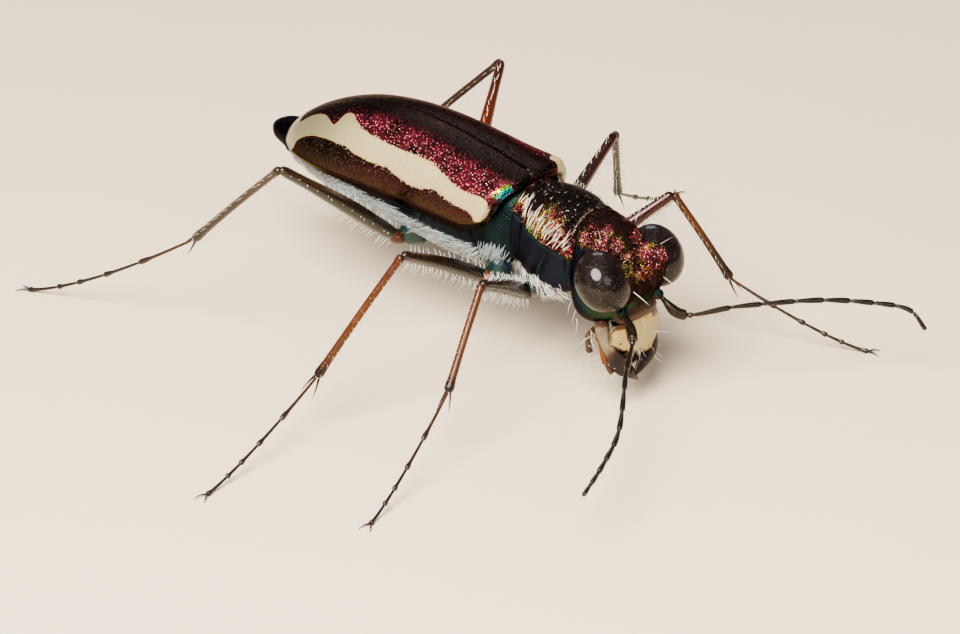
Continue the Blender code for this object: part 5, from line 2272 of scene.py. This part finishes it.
@dataclass
class Leg:
    """One leg, from its hip to its claws, and its bristles."""

    place: str
    side: Side
    root: Point
    joint: Point
    knee: Point
    ankle: Point
    toe: Point
    tints: LegTints
    thigh_radii: tuple = (
        (0.0, 0.09), (0.05, 0.14), (0.16, 0.175), (0.34, 0.185), (0.60, 0.160), (0.84, 0.125),
        (0.93, 0.122), (1.0, 0.10),
    )
    shin_radii: tuple = (
        (0.0, 0.085), (0.03, 0.100), (0.09, 0.084), (0.50, 0.084), (0.86, 0.092), (0.96, 0.112),
        (1.0, 0.090),
    )
    foot_joints: tuple = (0.0, 0.33, 0.54, 0.70, 0.82, 1.0)
    foot_radius: float = 0.046
    droop: float = 1.3
    fringes: dict = field(default_factory=lambda: {
        "front": (
            (0.47, 44, 0.28, 0.30), (0.56, 38, 0.26, 0.35), (0.03, 34, 0.17, 0.45),
            (0.92, 22, 0.15, 0.5)
        ),
        "middle": ((0.48, 38, 0.27, 0.25), (0.58, 24, 0.22, 0.30), (0.02, 16, 0.15, 0.50)),
        "hind": ((0.49, 28, 0.25, 0.30), (0.02, 24, 0.15, 0.50), (0.72, 14, 0.15, 0.50)),
    })

    seeds: dict = field(default_factory=lambda: {"front": 11, "middle": 12, "hind": 13})

    @property
    def name(self) -> str:
        """The leg's place and side in one word."""
        return f"{self.place}_{self.side.word}"

    @staticmethod
    def bowed(start: Array, end: Array, rise: float) -> Array:
        """A limb's middle line, very slightly bowed."""
        middle = (start + end) / 2 + np.array([0, 0, rise])
        return curve((start, middle, end), 140)

    def foot_path(self) -> Array:
        """The foot's middle line, drooping to lie along the floor."""
        start, end = np.array(self.ankle), np.array(self.toe)
        at = np.linspace(0, 1, 200)[:, None]
        path = start + (end - start) * at
        low = self.foot_radius * 0.95
        path[:, 2] = low + (start[2] - low) * (1 - at[:, 0]) ** self.droop
        return path

    def hip(self) -> Form:
        """The hip's tapered mass and the small bean of the second joint."""
        root, joint = np.array(self.root), np.array(self.joint)
        run = joint - root
        inner = root - run * 0.25
        at = np.linspace(0, 1, 60)
        spine = curve((inner, root + run * 0.3, joint), 60)
        size = through(((0, 0.30), (0.35, 0.36), (0.7, 0.27), (1, 0.15)), at)[:, 0]
        hip = swept(spine, rounded(size, 0.12), rounded(size * 1.05, 0.12), 40)
        hip.marks["reach"] *= 0.45
        lead = unit(np.array(self.knee) - from_body(self.joint))
        bean = swept(
            curve((joint - run * 0.25, joint + lead * 0.10, joint + lead * 0.42), 50),
            girths(((0, 0.15), (0.5, 0.185), (1, 0.13)), 50, 0.14),
            girths(((0, 0.15), (0.5, 0.175), (1, 0.12)), 50, 0.14),
            32,
        )
        bean.marks["reach"] = bean.marks["reach"] * 0.3 + 0.7
        return Form.joined([hip.form(), bean.form()])

    def thigh(self) -> Sheet:
        """The thigh, a slim club."""
        path = self.bowed(from_body(self.joint), np.array(self.knee), 0.05)
        size = girths(self.thigh_radii, len(path), 0.03)
        return swept(path, size * 0.90, size, 40)

    def shin(self) -> Sheet:
        """The shin, a slim rod that flares at its ankle."""
        path = self.bowed(np.array(self.knee), np.array(self.ankle), 0.03)
        size = girths(self.shin_radii, len(path), 0.02)
        return swept(path, size, size, 32)

    def spurs(self) -> list[Form]:
        """The two spurs under the ankle."""
        ankle, lead = np.array(self.ankle), unit(np.array(self.ankle) - np.array(self.knee))
        foot = unit(self.foot_path()[30] - ankle)
        side = unit(np.cross(lead, foot))
        made = []
        for turn in (-1, 1):
            root = ankle + side * 0.05 * turn - foot * 0.03
            tip = (
                root
                + (lead * 0.85 + foot * 0.25 + side * 0.28 * turn + np.array([0, 0, -0.25])) * 0.38
            )
            spine = curve((root, (root + tip) / 2 + side * 0.012 * turn, tip), 20)
            size = rounded(np.linspace(0.030, 0.005, 20), 0.04)
            spur = swept(spine, size, size, 10)
            spur.marks["reach"] = spur.marks["reach"] * 0.05 + 0.95
            made.append(spur.form())
        return made

    def foot(self) -> Form:
        """The five joints of the foot, and its two claws."""
        path = self.foot_path()
        at = np.linspace(0, 1, len(path))
        radius = np.zeros(len(path))
        for low, high in zip(self.foot_joints, self.foot_joints[1:]):
            share = np.clip((at - low) / (high - low), 0, 1)
            inside = (at >= low) & (at <= high)
            shape = (
                0.66 + 0.22 * share + 0.52 * ease(share, 0.72, 0.92) - 0.35 * ease(share, 0.95, 1.0)
            )
            radius[inside] = (self.foot_radius * shape)[inside]
        skin = swept(path, rounded(radius * 0.95, 0.01), rounded(radius, 0.01), 24)
        lead = unit(path[-1] - path[-8])
        aside = unit(np.cross(lead, (0, 0, 1)))
        forms = [skin.form()]
        for turn in (-1, 1):
            root = path[-1] - lead * 0.03
            bow = root + lead * 0.16 + aside * 0.08 * turn + np.array([0, 0, 0.035])
            tip = root + lead * 0.30 + aside * 0.15 * turn
            tip[2] = 0.012
            spine = curve((root, bow, tip), 30)
            size = rounded(np.linspace(0.026, 0.006, 30), 0.03)
            forms.append(swept(spine, size, size, 12).form())
        return Form.joined(forms)

    def bristles(self) -> tuple[Form, Form]:
        """The rows of pale bristles on the thigh, and the browner ones on the shin and the foot."""
        seed = self.seeds[self.place] + 10 * (self.side is Side.RIGHT)
        coat = Coat(seed)
        thigh, shin, foot = self.thigh(), self.shin(), self.foot_path()
        for turn, count, length, lean in self.fringes[self.place]:
            self.row(coat, thigh, turn, count, (0.05, 0.93), length * 1.15, 0.0145, lean)
        fine = Coat(seed + 40)
        for turn in (0.02, 0.26, 0.5, 0.75):
            self.row(fine, shin, turn, 15, (0.06, 0.96), 0.20, 0.0085, 0.12)
        for high in self.foot_joints[1:]:
            at = foot[int(min(high, 0.995) * (len(foot) - 1))]
            lead = unit(foot[-1] - foot[0])
            aside = unit(np.cross(lead, (0, 0, 1)))
            roots = np.repeat(at[None], 4, 0)
            splay = ((0.6, -0.3), (-0.6, -0.3), (0.5, 0.5), (-0.5, 0.5))
            ways = lead * 0.8 + np.array([aside * a + np.array([0, 0, b]) for a, b in splay])
            ways[:, 2] = np.maximum(ways[:, 2], -0.02) if at[2] < 0.12 else ways[:, 2]
            fine.grow(roots, ways, 0 * ways, 0.11, 0.007, np.full((4, 2), high * 0.9))
        return coat.form(), fine.form()

    def row(
        self, coat: Coat, skin: Sheet, turn: float, count: int, span: tuple[float, float],
        length: float, radius: float, lean: float,
    ) -> None:
        """Grows one uneven row of bristles along a limb.

        Args:
            coat: The coat that they join.
            skin: The limb's skin.
            turn: Where round the limb the row runs.
            count: How many bristles it has.
            span: Where along the limb it starts and ends.
            length: The bristles' usual length.
            radius: Their radius at the root.
            lean: How far they lean towards the limb's tip.
        """
        u = np.linspace(*span, count) + coat.rng.uniform(-0.3, 0.3, count) / count
        v = turn + coat.rng.uniform(-0.025, 0.025, count)
        at, out = skin.read(skin.grid, u, v), unit(skin.read(skin.normals(), u, v))
        lead = unit(skin.grid[-1].mean(0) - skin.grid[0].mean(0))
        way = unit(out + lead * lean + coat.rng.normal(size=at.shape) * 0.10)
        comb = np.broadcast_to(lead * 0.22, at.shape) + coat.rng.normal(size=at.shape) * 0.04
        sizes = length * coat.rng.uniform(0.7, 1.15, count)
        coat.grow(at, way, comb, sizes, np.full(count, radius), np.stack([u, v % 1.0], -1))

    def build(self) -> None:
        """Lays the leg's four lengths and its bristles."""
        hip = HornFinish(
            f"hip_{self.name}",
            ((0.0, (0.008, 0.024, 0.034)), (0.40, (0.010, 0.040, 0.030)), (0.66, self.tints.bean),
             (1.0, self.tints.bean)),
            metal=0.35, rough=0.32, coat=0.3,
        )
        thigh = HornFinish(
            f"thigh_{self.name}", self.tints.thigh, metal=self.tints.metal, rough=0.26, coat=0.35,
            pitch=18.0, rise=0.008, under=self.tints.under,
        )
        shin = HornFinish(
            f"shin_{self.name}", self.tints.shin, metal=0.15, rough=0.30, coat=0.20, pitch=16.0,
            rise=0.008, glow=0.05, shine=0.30,
        )
        foot = HornFinish(
            "foot_dark", (
                (0.0, (0.070, 0.030, 0.014)), (0.3, (0.035, 0.022, 0.016)),
                (1.0, (0.022, 0.016, 0.013))
            ),
            metal=0.30, rough=0.30, coat=0.3, pitch=26.0, rise=0.004,
        )
        tan = HairFinish("bristle_tan", (0.20, 0.105, 0.055), (0.62, 0.52, 0.41), 0.36)
        lay(f"hip_{self.name}", self.hip(), Axes.BODY, hip, [f"coxa_{self.name}"])
        lay(
            f"thigh_{self.name}", self.thigh().form(), Axes.STANCE, thigh,
            [f"femur_{self.name}"]
        )
        shank = Form.joined([self.shin().form(), *self.spurs()])
        lay(f"shin_{self.name}", shank, Axes.STANCE, shin, [f"tibia_{self.name}"])
        lay(f"foot_{self.name}", self.foot(), Axes.STANCE, foot, [f"tarsus_{self.name}"])
        pale, brown = self.bristles()
        lay(f"bristles_{self.name}", pale, Axes.STANCE, HairFinish())
        lay(f"shin_bristles_{self.name}", brown, Axes.STANCE, tan)


@dataclass
class Legs:
    """The six legs in the stance of the pose."""

    bronze: tuple = (
        (0.0, (0.026, 0.020, 0.014)), (0.5, (0.034, 0.022, 0.014)), (0.9, (0.055, 0.020, 0.010)),
        (1.0, (0.035, 0.014, 0.011)),
    )
    maroon: tuple = (
        (0.0, (0.030, 0.014, 0.015)), (0.5, (0.055, 0.027, 0.029)), (0.85, (0.070, 0.026, 0.020)),
        (1.0, (0.05, 0.018, 0.014)),
    )
    red: tuple = (
        (0.0, (0.07, 0.018, 0.009)), (0.6, (0.17, 0.032, 0.012)), (1.0, (0.06, 0.018, 0.010)),
    )
    rust: tuple = (
        (0.0, (0.03, 0.010, 0.008)), (0.06, (0.080, 0.022, 0.008)), (0.5, (0.105, 0.034, 0.009)),
        (0.86, (0.075, 0.024, 0.008)), (0.95, (0.020, 0.010, 0.008)), (1.0, (0.014, 0.008, 0.007)),
    )
    umber: tuple = (
        (0.0, (0.035, 0.015, 0.009)), (0.3, (0.040, 0.021, 0.012)), (0.8, (0.028, 0.016, 0.011)),
        (1.0, (0.016, 0.011, 0.008)),
    )
    fading: tuple = (
        (0.0, (0.06, 0.020, 0.010)), (0.3, (0.10, 0.032, 0.009)), (0.65, (0.05, 0.022, 0.010)),
        (1.0, (0.018, 0.011, 0.009)),
    )
    smoke: tuple = (
        (0.0, (0.060, 0.034, 0.026)), (0.4, (0.046, 0.036, 0.034)), (1.0, (0.022, 0.018, 0.017)),
    )
    hips: dict = field(default_factory=lambda: {
        "front": ((0.50, -0.98, -0.88), (0.56, -0.67, -1.35)),
        "middle": ((0.56, 0.14, -0.92), (0.86, 0.31, -1.27)),
        "hind": ((0.70, 2.62, -1.06), (1.07, 2.79, -1.25)),
    })

    def legs(self) -> list[Leg]:
        """The six legs."""
        right, left = Side.RIGHT, Side.LEFT
        plan = (
            ("front", right, (-3.13, -1.52, 3.50), (-4.72, -1.99, 1.63), (-8.05, -2.82, 0),
             "bronze", "rust"),
            ("front", left, (2.70, -1.98, 3.76), (3.62, -2.94, 1.61), (5.33, -5.61, 0),
             "maroon", "fading"),
            ("middle", right, (-3.92, 0.10, 3.95), (-5.73, 1.01, 1.31), (-9.51, 0.66, 0),
             "bronze", "rust"),
            ("middle", left, (3.96, 0.87, 3.88), (5.35, 1.98, 1.51), (8.50, 2.90, 0),
             "maroon", "smoke"),
            ("hind", right, (-4.53, 3.22, 5.23), (-4.17, 6.35, 2.32), (-5.42, 10.60, 0),
             "bronze", "umber"),
            ("hind", left, (4.59, 4.96, 4.22), (3.71, 7.86, 1.15), (6.10, 11.60, 0),
             "red", "umber"),
        )
        made = []
        for place, side, knee, ankle, toe, thigh, shin in plan:
            root, joint = ((x * side.value, y, z) for x, y, z in self.hips[place])
            bean = (0.34, 0.085, 0.016) if place == "middle" else (0.075, 0.020, 0.012)
            under = (0.040, 0.044, 0.032) if thigh == "bronze" else None
            metal = 0.7 if thigh == "maroon" else 0.5
            tints = LegTints(getattr(self, thigh), getattr(self, shin), bean, under, metal)
            made.append(Leg(place, side, root, joint, knee, ankle, toe, tints))
        return made

    def build(self) -> None:
        """Lays the six legs."""
        for leg in self.legs():
            leg.build()


# Coats of the body


@dataclass
class BodyCoat:
    """The pale bristles of the neck shield, the flanks, the hips and the head."""

    shield: Sheet
    thorax: Sheet
    abdomen: Sheet
    shape: NeckShield
    thin: float = 1.0
    shield_seed: int = 51
    silk_seed: int = 52
    hip_seed: int = 54
    face_seed: int = 55
    whiskers: tuple = (
        ((-2.31, -1.23), (-2.40, -1.32), (-2.38, -1.73)),
        ((-2.74, -1.52), (-2.57, -1.69), (-2.40, -1.92)),
        ((-2.82, -1.76), (-2.62, -1.77), (-2.42, -2.19)),
        ((-2.63, -1.94), (-2.54, -2.23), (-2.55, -2.55)),
        ((-2.69, -1.98), (-2.78, -2.24), (-2.97, -2.45)),
        ((-2.73, -1.38), (-2.85, -1.45), (-2.96, -1.57)),
        ((-2.73, -1.45), (-2.80, -1.66), (-2.94, -1.76)),
        ((-2.76, -1.60), (-2.83, -1.75), (-3.00, -1.79)),
        ((-3.04, -1.89), (-2.91, -2.01), (-2.77, -2.07)),
        ((-3.06, -2.03), (-2.97, -2.16), (-2.88, -2.32)),
        ((-3.25, -2.23), (-3.17, -2.39), (-3.09, -2.54)),
        ((-3.36, -2.10), (-3.44, -2.03), (-3.54, -1.98)),
        ((-3.34, -2.25), (-3.46, -2.38), (-3.66, -2.45)),
        ((-3.39, -2.17), (-3.52, -2.23), (-3.65, -2.29)),
        ((-2.20, -1.10), (-2.14, -1.34), (-2.16, -1.50)),
        ((-2.05, -0.95), (-1.98, -1.16), (-2.01, -1.34)),
        ((-1.62, -0.50), (-1.66, -0.68), (-1.80, -0.80)),
        ((-1.50, -0.52), (-1.50, -0.72), (-1.60, -0.88)),
    )
    brows: tuple = (
        ((0.50, -3.60, -0.09), (0.0, -0.60, -0.17), 0.012),
        ((0.60, -3.33, 0.52), (0.15, -0.32, 0.33), 0.008),
        ((0.58, -2.66, 0.86), (0.12, 0.02, 0.30), 0.008),
    )

    def shield_band(self) -> Form:
        """The bright bristles above the side margins of the neck shield."""
        coat = Coat(self.shield_seed)

        def inside(at: Array) -> Array:
            """A band just above the margin."""
            over = at[:, 2] - self.shape.margin_at(at[:, 1])
            band = (
                ease(over, 0.02, 0.05) * ease(0.42 - over, 0.0, 0.12)
                * (1 - 0.55 * ease(at[:, 1], -0.80, -0.50))
            )
            return (
                band * ease(at[:, 1], -1.92, -1.82) * ease(-at[:, 1], 0.26, 0.38)
                * (np.abs(at[:, 0]) > 0.5)
            )

        def lie(at: Array) -> Array:
            """Up and forward over the back."""
            return heading(at, -0.5, -0.40, 0.70)

        def sparse(at: Array) -> Array:
            """The back, between the two bands."""
            over = at[:, 2] - self.shape.margin_at(at[:, 1])
            return (
                ease(over, 0.40, 0.55) * ease(at[:, 1], -1.95, -1.85) * ease(-at[:, 1], 0.25, 0.30)
            )

        def collar(at: Array) -> Array:
            """The front edge."""
            return ease(at[:, 2], 0.2, 0.5) * bell(at[:, 1], -1.945, 0.020)

        def ahead(at: Array) -> Array:
            """Straight ahead."""
            return heading(at, 0.0, -1.0, 0.0)

        coat.cover(
            self.shield, int(1900 * self.thin), inside, lie, (0.32, 0.48), 0.0135, 0.45, 0.6, 0.14
        )
        coat.cover(
            self.shield, int(240 * self.thin), sparse, lie, (0.08, 0.14), 0.0050, 0.90, 0.4, 0.30
        )
        coat.cover(
            self.shield, int(12000 * self.thin), collar, ahead, (0.06, 0.10), 0.0050, 0.90, 0.4,
            0.16
        )
        return coat.form()

    def silk(self, side: Side) -> Form:
        """The silky lying hair of one flank, from the middle leg to the tail.

        Args:
            side: The flank's side.

        Returns:
            The hair as one form.
        """
        coat = Coat(self.silk_seed + (side is Side.RIGHT))

        def flank(at: Array) -> Array:
            """Below the wing case, and thin just under its edge."""
            x, y, z = at.T
            own = x * side.value > 0.25
            top = -0.36 + 0.10 * ease(y, 2.2, 3.6)
            high = ease(top - z, 0.0, 0.12)
            return own * high * ease(y, 0.30, 0.55) * ease(-z, -1.2, 1.22)

        def patch(at: Array) -> Array:
            """The thicker patch over the middle hip."""
            x, y, z = at.T
            return (x * side.value > 0.2) * ease(-0.18 - z, 0.0, 0.15) * bell(y, 0.16, 0.22)

        def along(at: Array) -> Array:
            """Back and a little down."""
            wave = 0.35 * np.sin(at[:, 1] * 4.1 + at[:, 2] * 6.0)
            return heading(at, 0.0, 1.0, -0.28 + wave)

        def down(at: Array) -> Array:
            """Down and a little back."""
            return heading(at, 0.0, 0.30, -1.0)

        coat.cover(
            self.thorax, int(12500 * self.thin), flank, along, (0.28, 0.46), 0.0090, 0.24, 0.5, 0.20
        )
        coat.cover(
            self.thorax, int(12000 * self.thin), patch, down, (0.28, 0.44), 0.0100, 0.32, 0.4, 0.20
        )
        coat.cover(
            self.abdomen, int(34000 * self.thin), self.belly(side), along, (0.16, 0.28), 0.0055,
            0.10, 0.4, 0.12
        )
        return coat.form()

    def belly(self, side: Side) -> Field:
        """Where the abdomen of one side carries silk.

        Args:
            side: The side.

        Returns:
            A share for each point, once given the points.
        """

        def inside(at: Array) -> Array:
            """The sides, thinning to the tail and to the middle of the belly."""
            x, y, z = at.T
            own = x * side.value > 0.15
            return (
                own * ease(-0.30 - z, 0.0, 0.10) * ease(6.7 - y, 0.0, 0.8)
                * ease(np.abs(x), 0.25, 0.6)
            )

        return inside

    def hips(self) -> Form:
        """The shaggy tufts round the front hips and under the thorax."""
        coat = Coat(self.hip_seed)

        def fore(at: Array) -> Array:
            """The underside round the front hips."""
            x, y, z = at.T
            return ease(-z, 0.55, 0.85) * bell(y, -0.95, 0.42) * ease(np.abs(x), 0.15, 0.35)

        def under(at: Array) -> Array:
            """The underside of the thorax."""
            x, y, z = at.T
            return ease(-z, 0.85, 1.05) * ease(np.abs(x), 0.10, 0.3) * ease(y, -0.2, 0.1)

        def splay(at: Array) -> Array:
            """Down, out and forward."""
            return heading(at, 0.4, -0.45, -0.8)

        def back(at: Array) -> Array:
            """Back along the belly."""
            return heading(at, 0.2, 1.0, -0.3)

        coat.cover(
            self.shield, int(9000 * self.thin), fore, splay, (0.32, 0.52), 0.0105, 0.75, 0.3, 0.30
        )
        coat.cover(
            self.thorax, int(9000 * self.thin), under, back, (0.20, 0.34), 0.0085, 0.35, 0.3, 0.25
        )
        return coat.form()

    def face(self) -> Form:
        """The long single hairs of the head, and the bristles of the cheeks and the mouth."""
        coat = Coat(self.face_seed)
        hairs = []
        for side in Side:
            s = side.value
            for root, way, size in self.brows:
                bend = np.array(way) * 0.5 + (0.0, 0.0, 0.01)
                hairs.append(
                    (np.array(root) * (s, 1, 1), bend * (s, 1, 1), np.array(way) * (s, 1, 1), size)
                )
            for k, (root, middle, tip) in enumerate(self.whiskers):
                out = 0.80 - 0.008 * k
                root, middle, tip = (
                    np.array([(out + 0.03 * j) * s, *p]) for j, p in enumerate((root, middle, tip))
                )
                hairs.append((root, middle - root, tip - root, 0.0095))
            for k in range(2):
                root = np.array(
                    [(0.03 + 0.33 * k) * s, -3.56 + 0.05 * k, -1.80 + 0.12 * k * (s < 0)]
                )
                tip = np.array([0.10 * s, -0.10, -0.26])
                hairs.append((root, tip * 0.5 + (0, -0.015, 0), tip, 0.0065))
            hairs.append((np.array([0.30 * s, -3.60, -1.45]), np.array([0.20 * s, -0.24, 0.05]),
                          np.array([0.46 * s, -0.34, -0.16]), 0.005))
        roots, halfway, tips = (np.array([h[k] for h in hairs]) for k in range(3))
        ways, bends = 4 * halfway - tips, 2 * tips - 4 * halfway
        sizes = np.linalg.norm(ways, axis=1)
        chart = np.stack([(roots[:, 0] + 1) / 2, (roots[:, 2] + 3) / 4], -1)
        coat.grow(
            roots, ways, bends / sizes[:, None], sizes, np.array([h[3] for h in hairs]), chart
        )
        return coat.form()

    def build(self) -> None:
        """Lays the coats."""
        cream = HairFinish("bristle_cream", (0.62, 0.52, 0.34), (0.90, 0.84, 0.68), 0.34)
        silver = HairFinish("hair_silver", (0.095, 0.120, 0.120), (0.50, 0.56, 0.555), 0.34)
        white = HairFinish()
        lay("shield_bristles", self.shield_band(), Axes.BODY, cream)
        for side in Side:
            lay(f"silk_{side.word}", self.silk(side), Axes.BODY, silver)
        lay("hip_tufts", self.hips(), Axes.BODY, white)
        lay("head_hairs", self.face(), Axes.BODY, white)


# Studio


@dataclass
class Studio:
    """A plain pale floor, soft lights, and the camera at the photograph's angle."""

    aim: Point = (1.182, -0.202, 0.0)
    back: Point = (-0.6532, -0.6023, 0.4590)
    distance: float = 130.0
    lens: float = 213.0
    floor_size: float = 1500.0

    def floor(self) -> None:
        """Lays the floor."""
        half = self.floor_size / 2
        corners = np.array(
            [(-half, -half, 0), (half, -half, 0), (half, half, 0), (-half, half, 0)], float
        )
        form = Form(corners, np.array([[0, 1, 2, 3]]), np.zeros((0, 3), int), {"at": corners})
        obj = bpy.data.objects.new("floor", mesh_of("floor", form, Axes.STANCE))
        bpy.context.scene.collection.objects.link(obj)
        obj.data.materials.append(FloorFinish().material())

    def lamp(
        self, name: str, way: Point, distance: float, size: float, power: float, tint: Tint
    ) -> None:
        """Hangs a round soft light that faces the beetle.

        Args:
            name: The light's name.
            way: The direction that it hangs in, from the aim.
            distance: How far away it hangs, in millimetres.
            size: How wide it is, in millimetres.
            power: Its power in watts.
            tint: Its colour.
        """
        light = bpy.data.lights.new(name, "AREA")
        light.shape, light.size, light.energy, light.color = "DISK", size * MM, power, tint
        obj = bpy.data.objects.new(name, light)
        towards = Vector(way).normalized()
        obj.location = Vector(self.aim) * MM + towards * distance * MM
        obj.rotation_mode = "QUATERNION"
        obj.rotation_quaternion = towards.to_track_quat("Z", "Y")
        bpy.context.scene.collection.objects.link(obj)

    def camera(self) -> None:
        """Sets the camera."""
        data = bpy.data.cameras.new("camera")
        data.lens, data.sensor_width = self.lens, 36.0
        data.clip_start, data.clip_end = 0.005, 10.0
        obj = bpy.data.objects.new("camera", data)
        back = Vector(self.back).normalized()
        obj.location = Vector(self.aim) * MM + back * self.distance * MM
        obj.rotation_mode = "QUATERNION"
        obj.rotation_quaternion = (-back).to_track_quat("-Z", "Y")
        bpy.context.scene.collection.objects.link(obj)
        bpy.context.scene.camera = obj

    def build(self) -> None:
        """Sets the floor, the lights, the sky and the camera."""
        self.floor()
        self.lamp("key", (-0.90, -0.34, 1.15), 110, 74, 0.37, (1.0, 0.97, 0.93))
        self.lamp("front", (-0.30, -1.0, 0.70), 120, 50, 0.022, (1.0, 0.98, 0.96))
        self.lamp("rim", (0.9, 0.8, 0.9), 120, 50, 0.022, (0.93, 0.96, 1.0))
        world = bpy.data.worlds.new("soft_sky")
        world.use_nodes = True
        sky = world.node_tree.nodes["Background"]
        sky.inputs["Color"].default_value = (0.80, 0.86, 0.95, 1.0)
        sky.inputs["Strength"].default_value = 0.15
        bpy.context.scene.world = world
        bpy.context.scene.view_settings.look = "AgX - Medium High Contrast"
        self.camera()


def clear_startup() -> None:
    """Removes the objects that a new file starts with."""
    kept = set(frame["nodes"].values()) | set(frame["bodies"].values())
    for obj in list(bpy.data.objects):
        if obj not in kept:
            bpy.data.objects.remove(obj)


def main() -> None:
    """Builds the beetle and its studio, in order."""
    logging.basicConfig(level=logging.INFO, format="%(message)s")
    clear_startup()
    Studio().build()
    WingCases().build()
    shape = NeckShield()
    shield = shape.build()
    Head().build()
    Mouth().build()
    Feelers().build()
    thorax, abdomen = HindBody().build()
    Legs().build()
    BodyCoat(shield, thorax, abdomen, shape, 1.0).build()


if __name__ == "__main__":
    main()
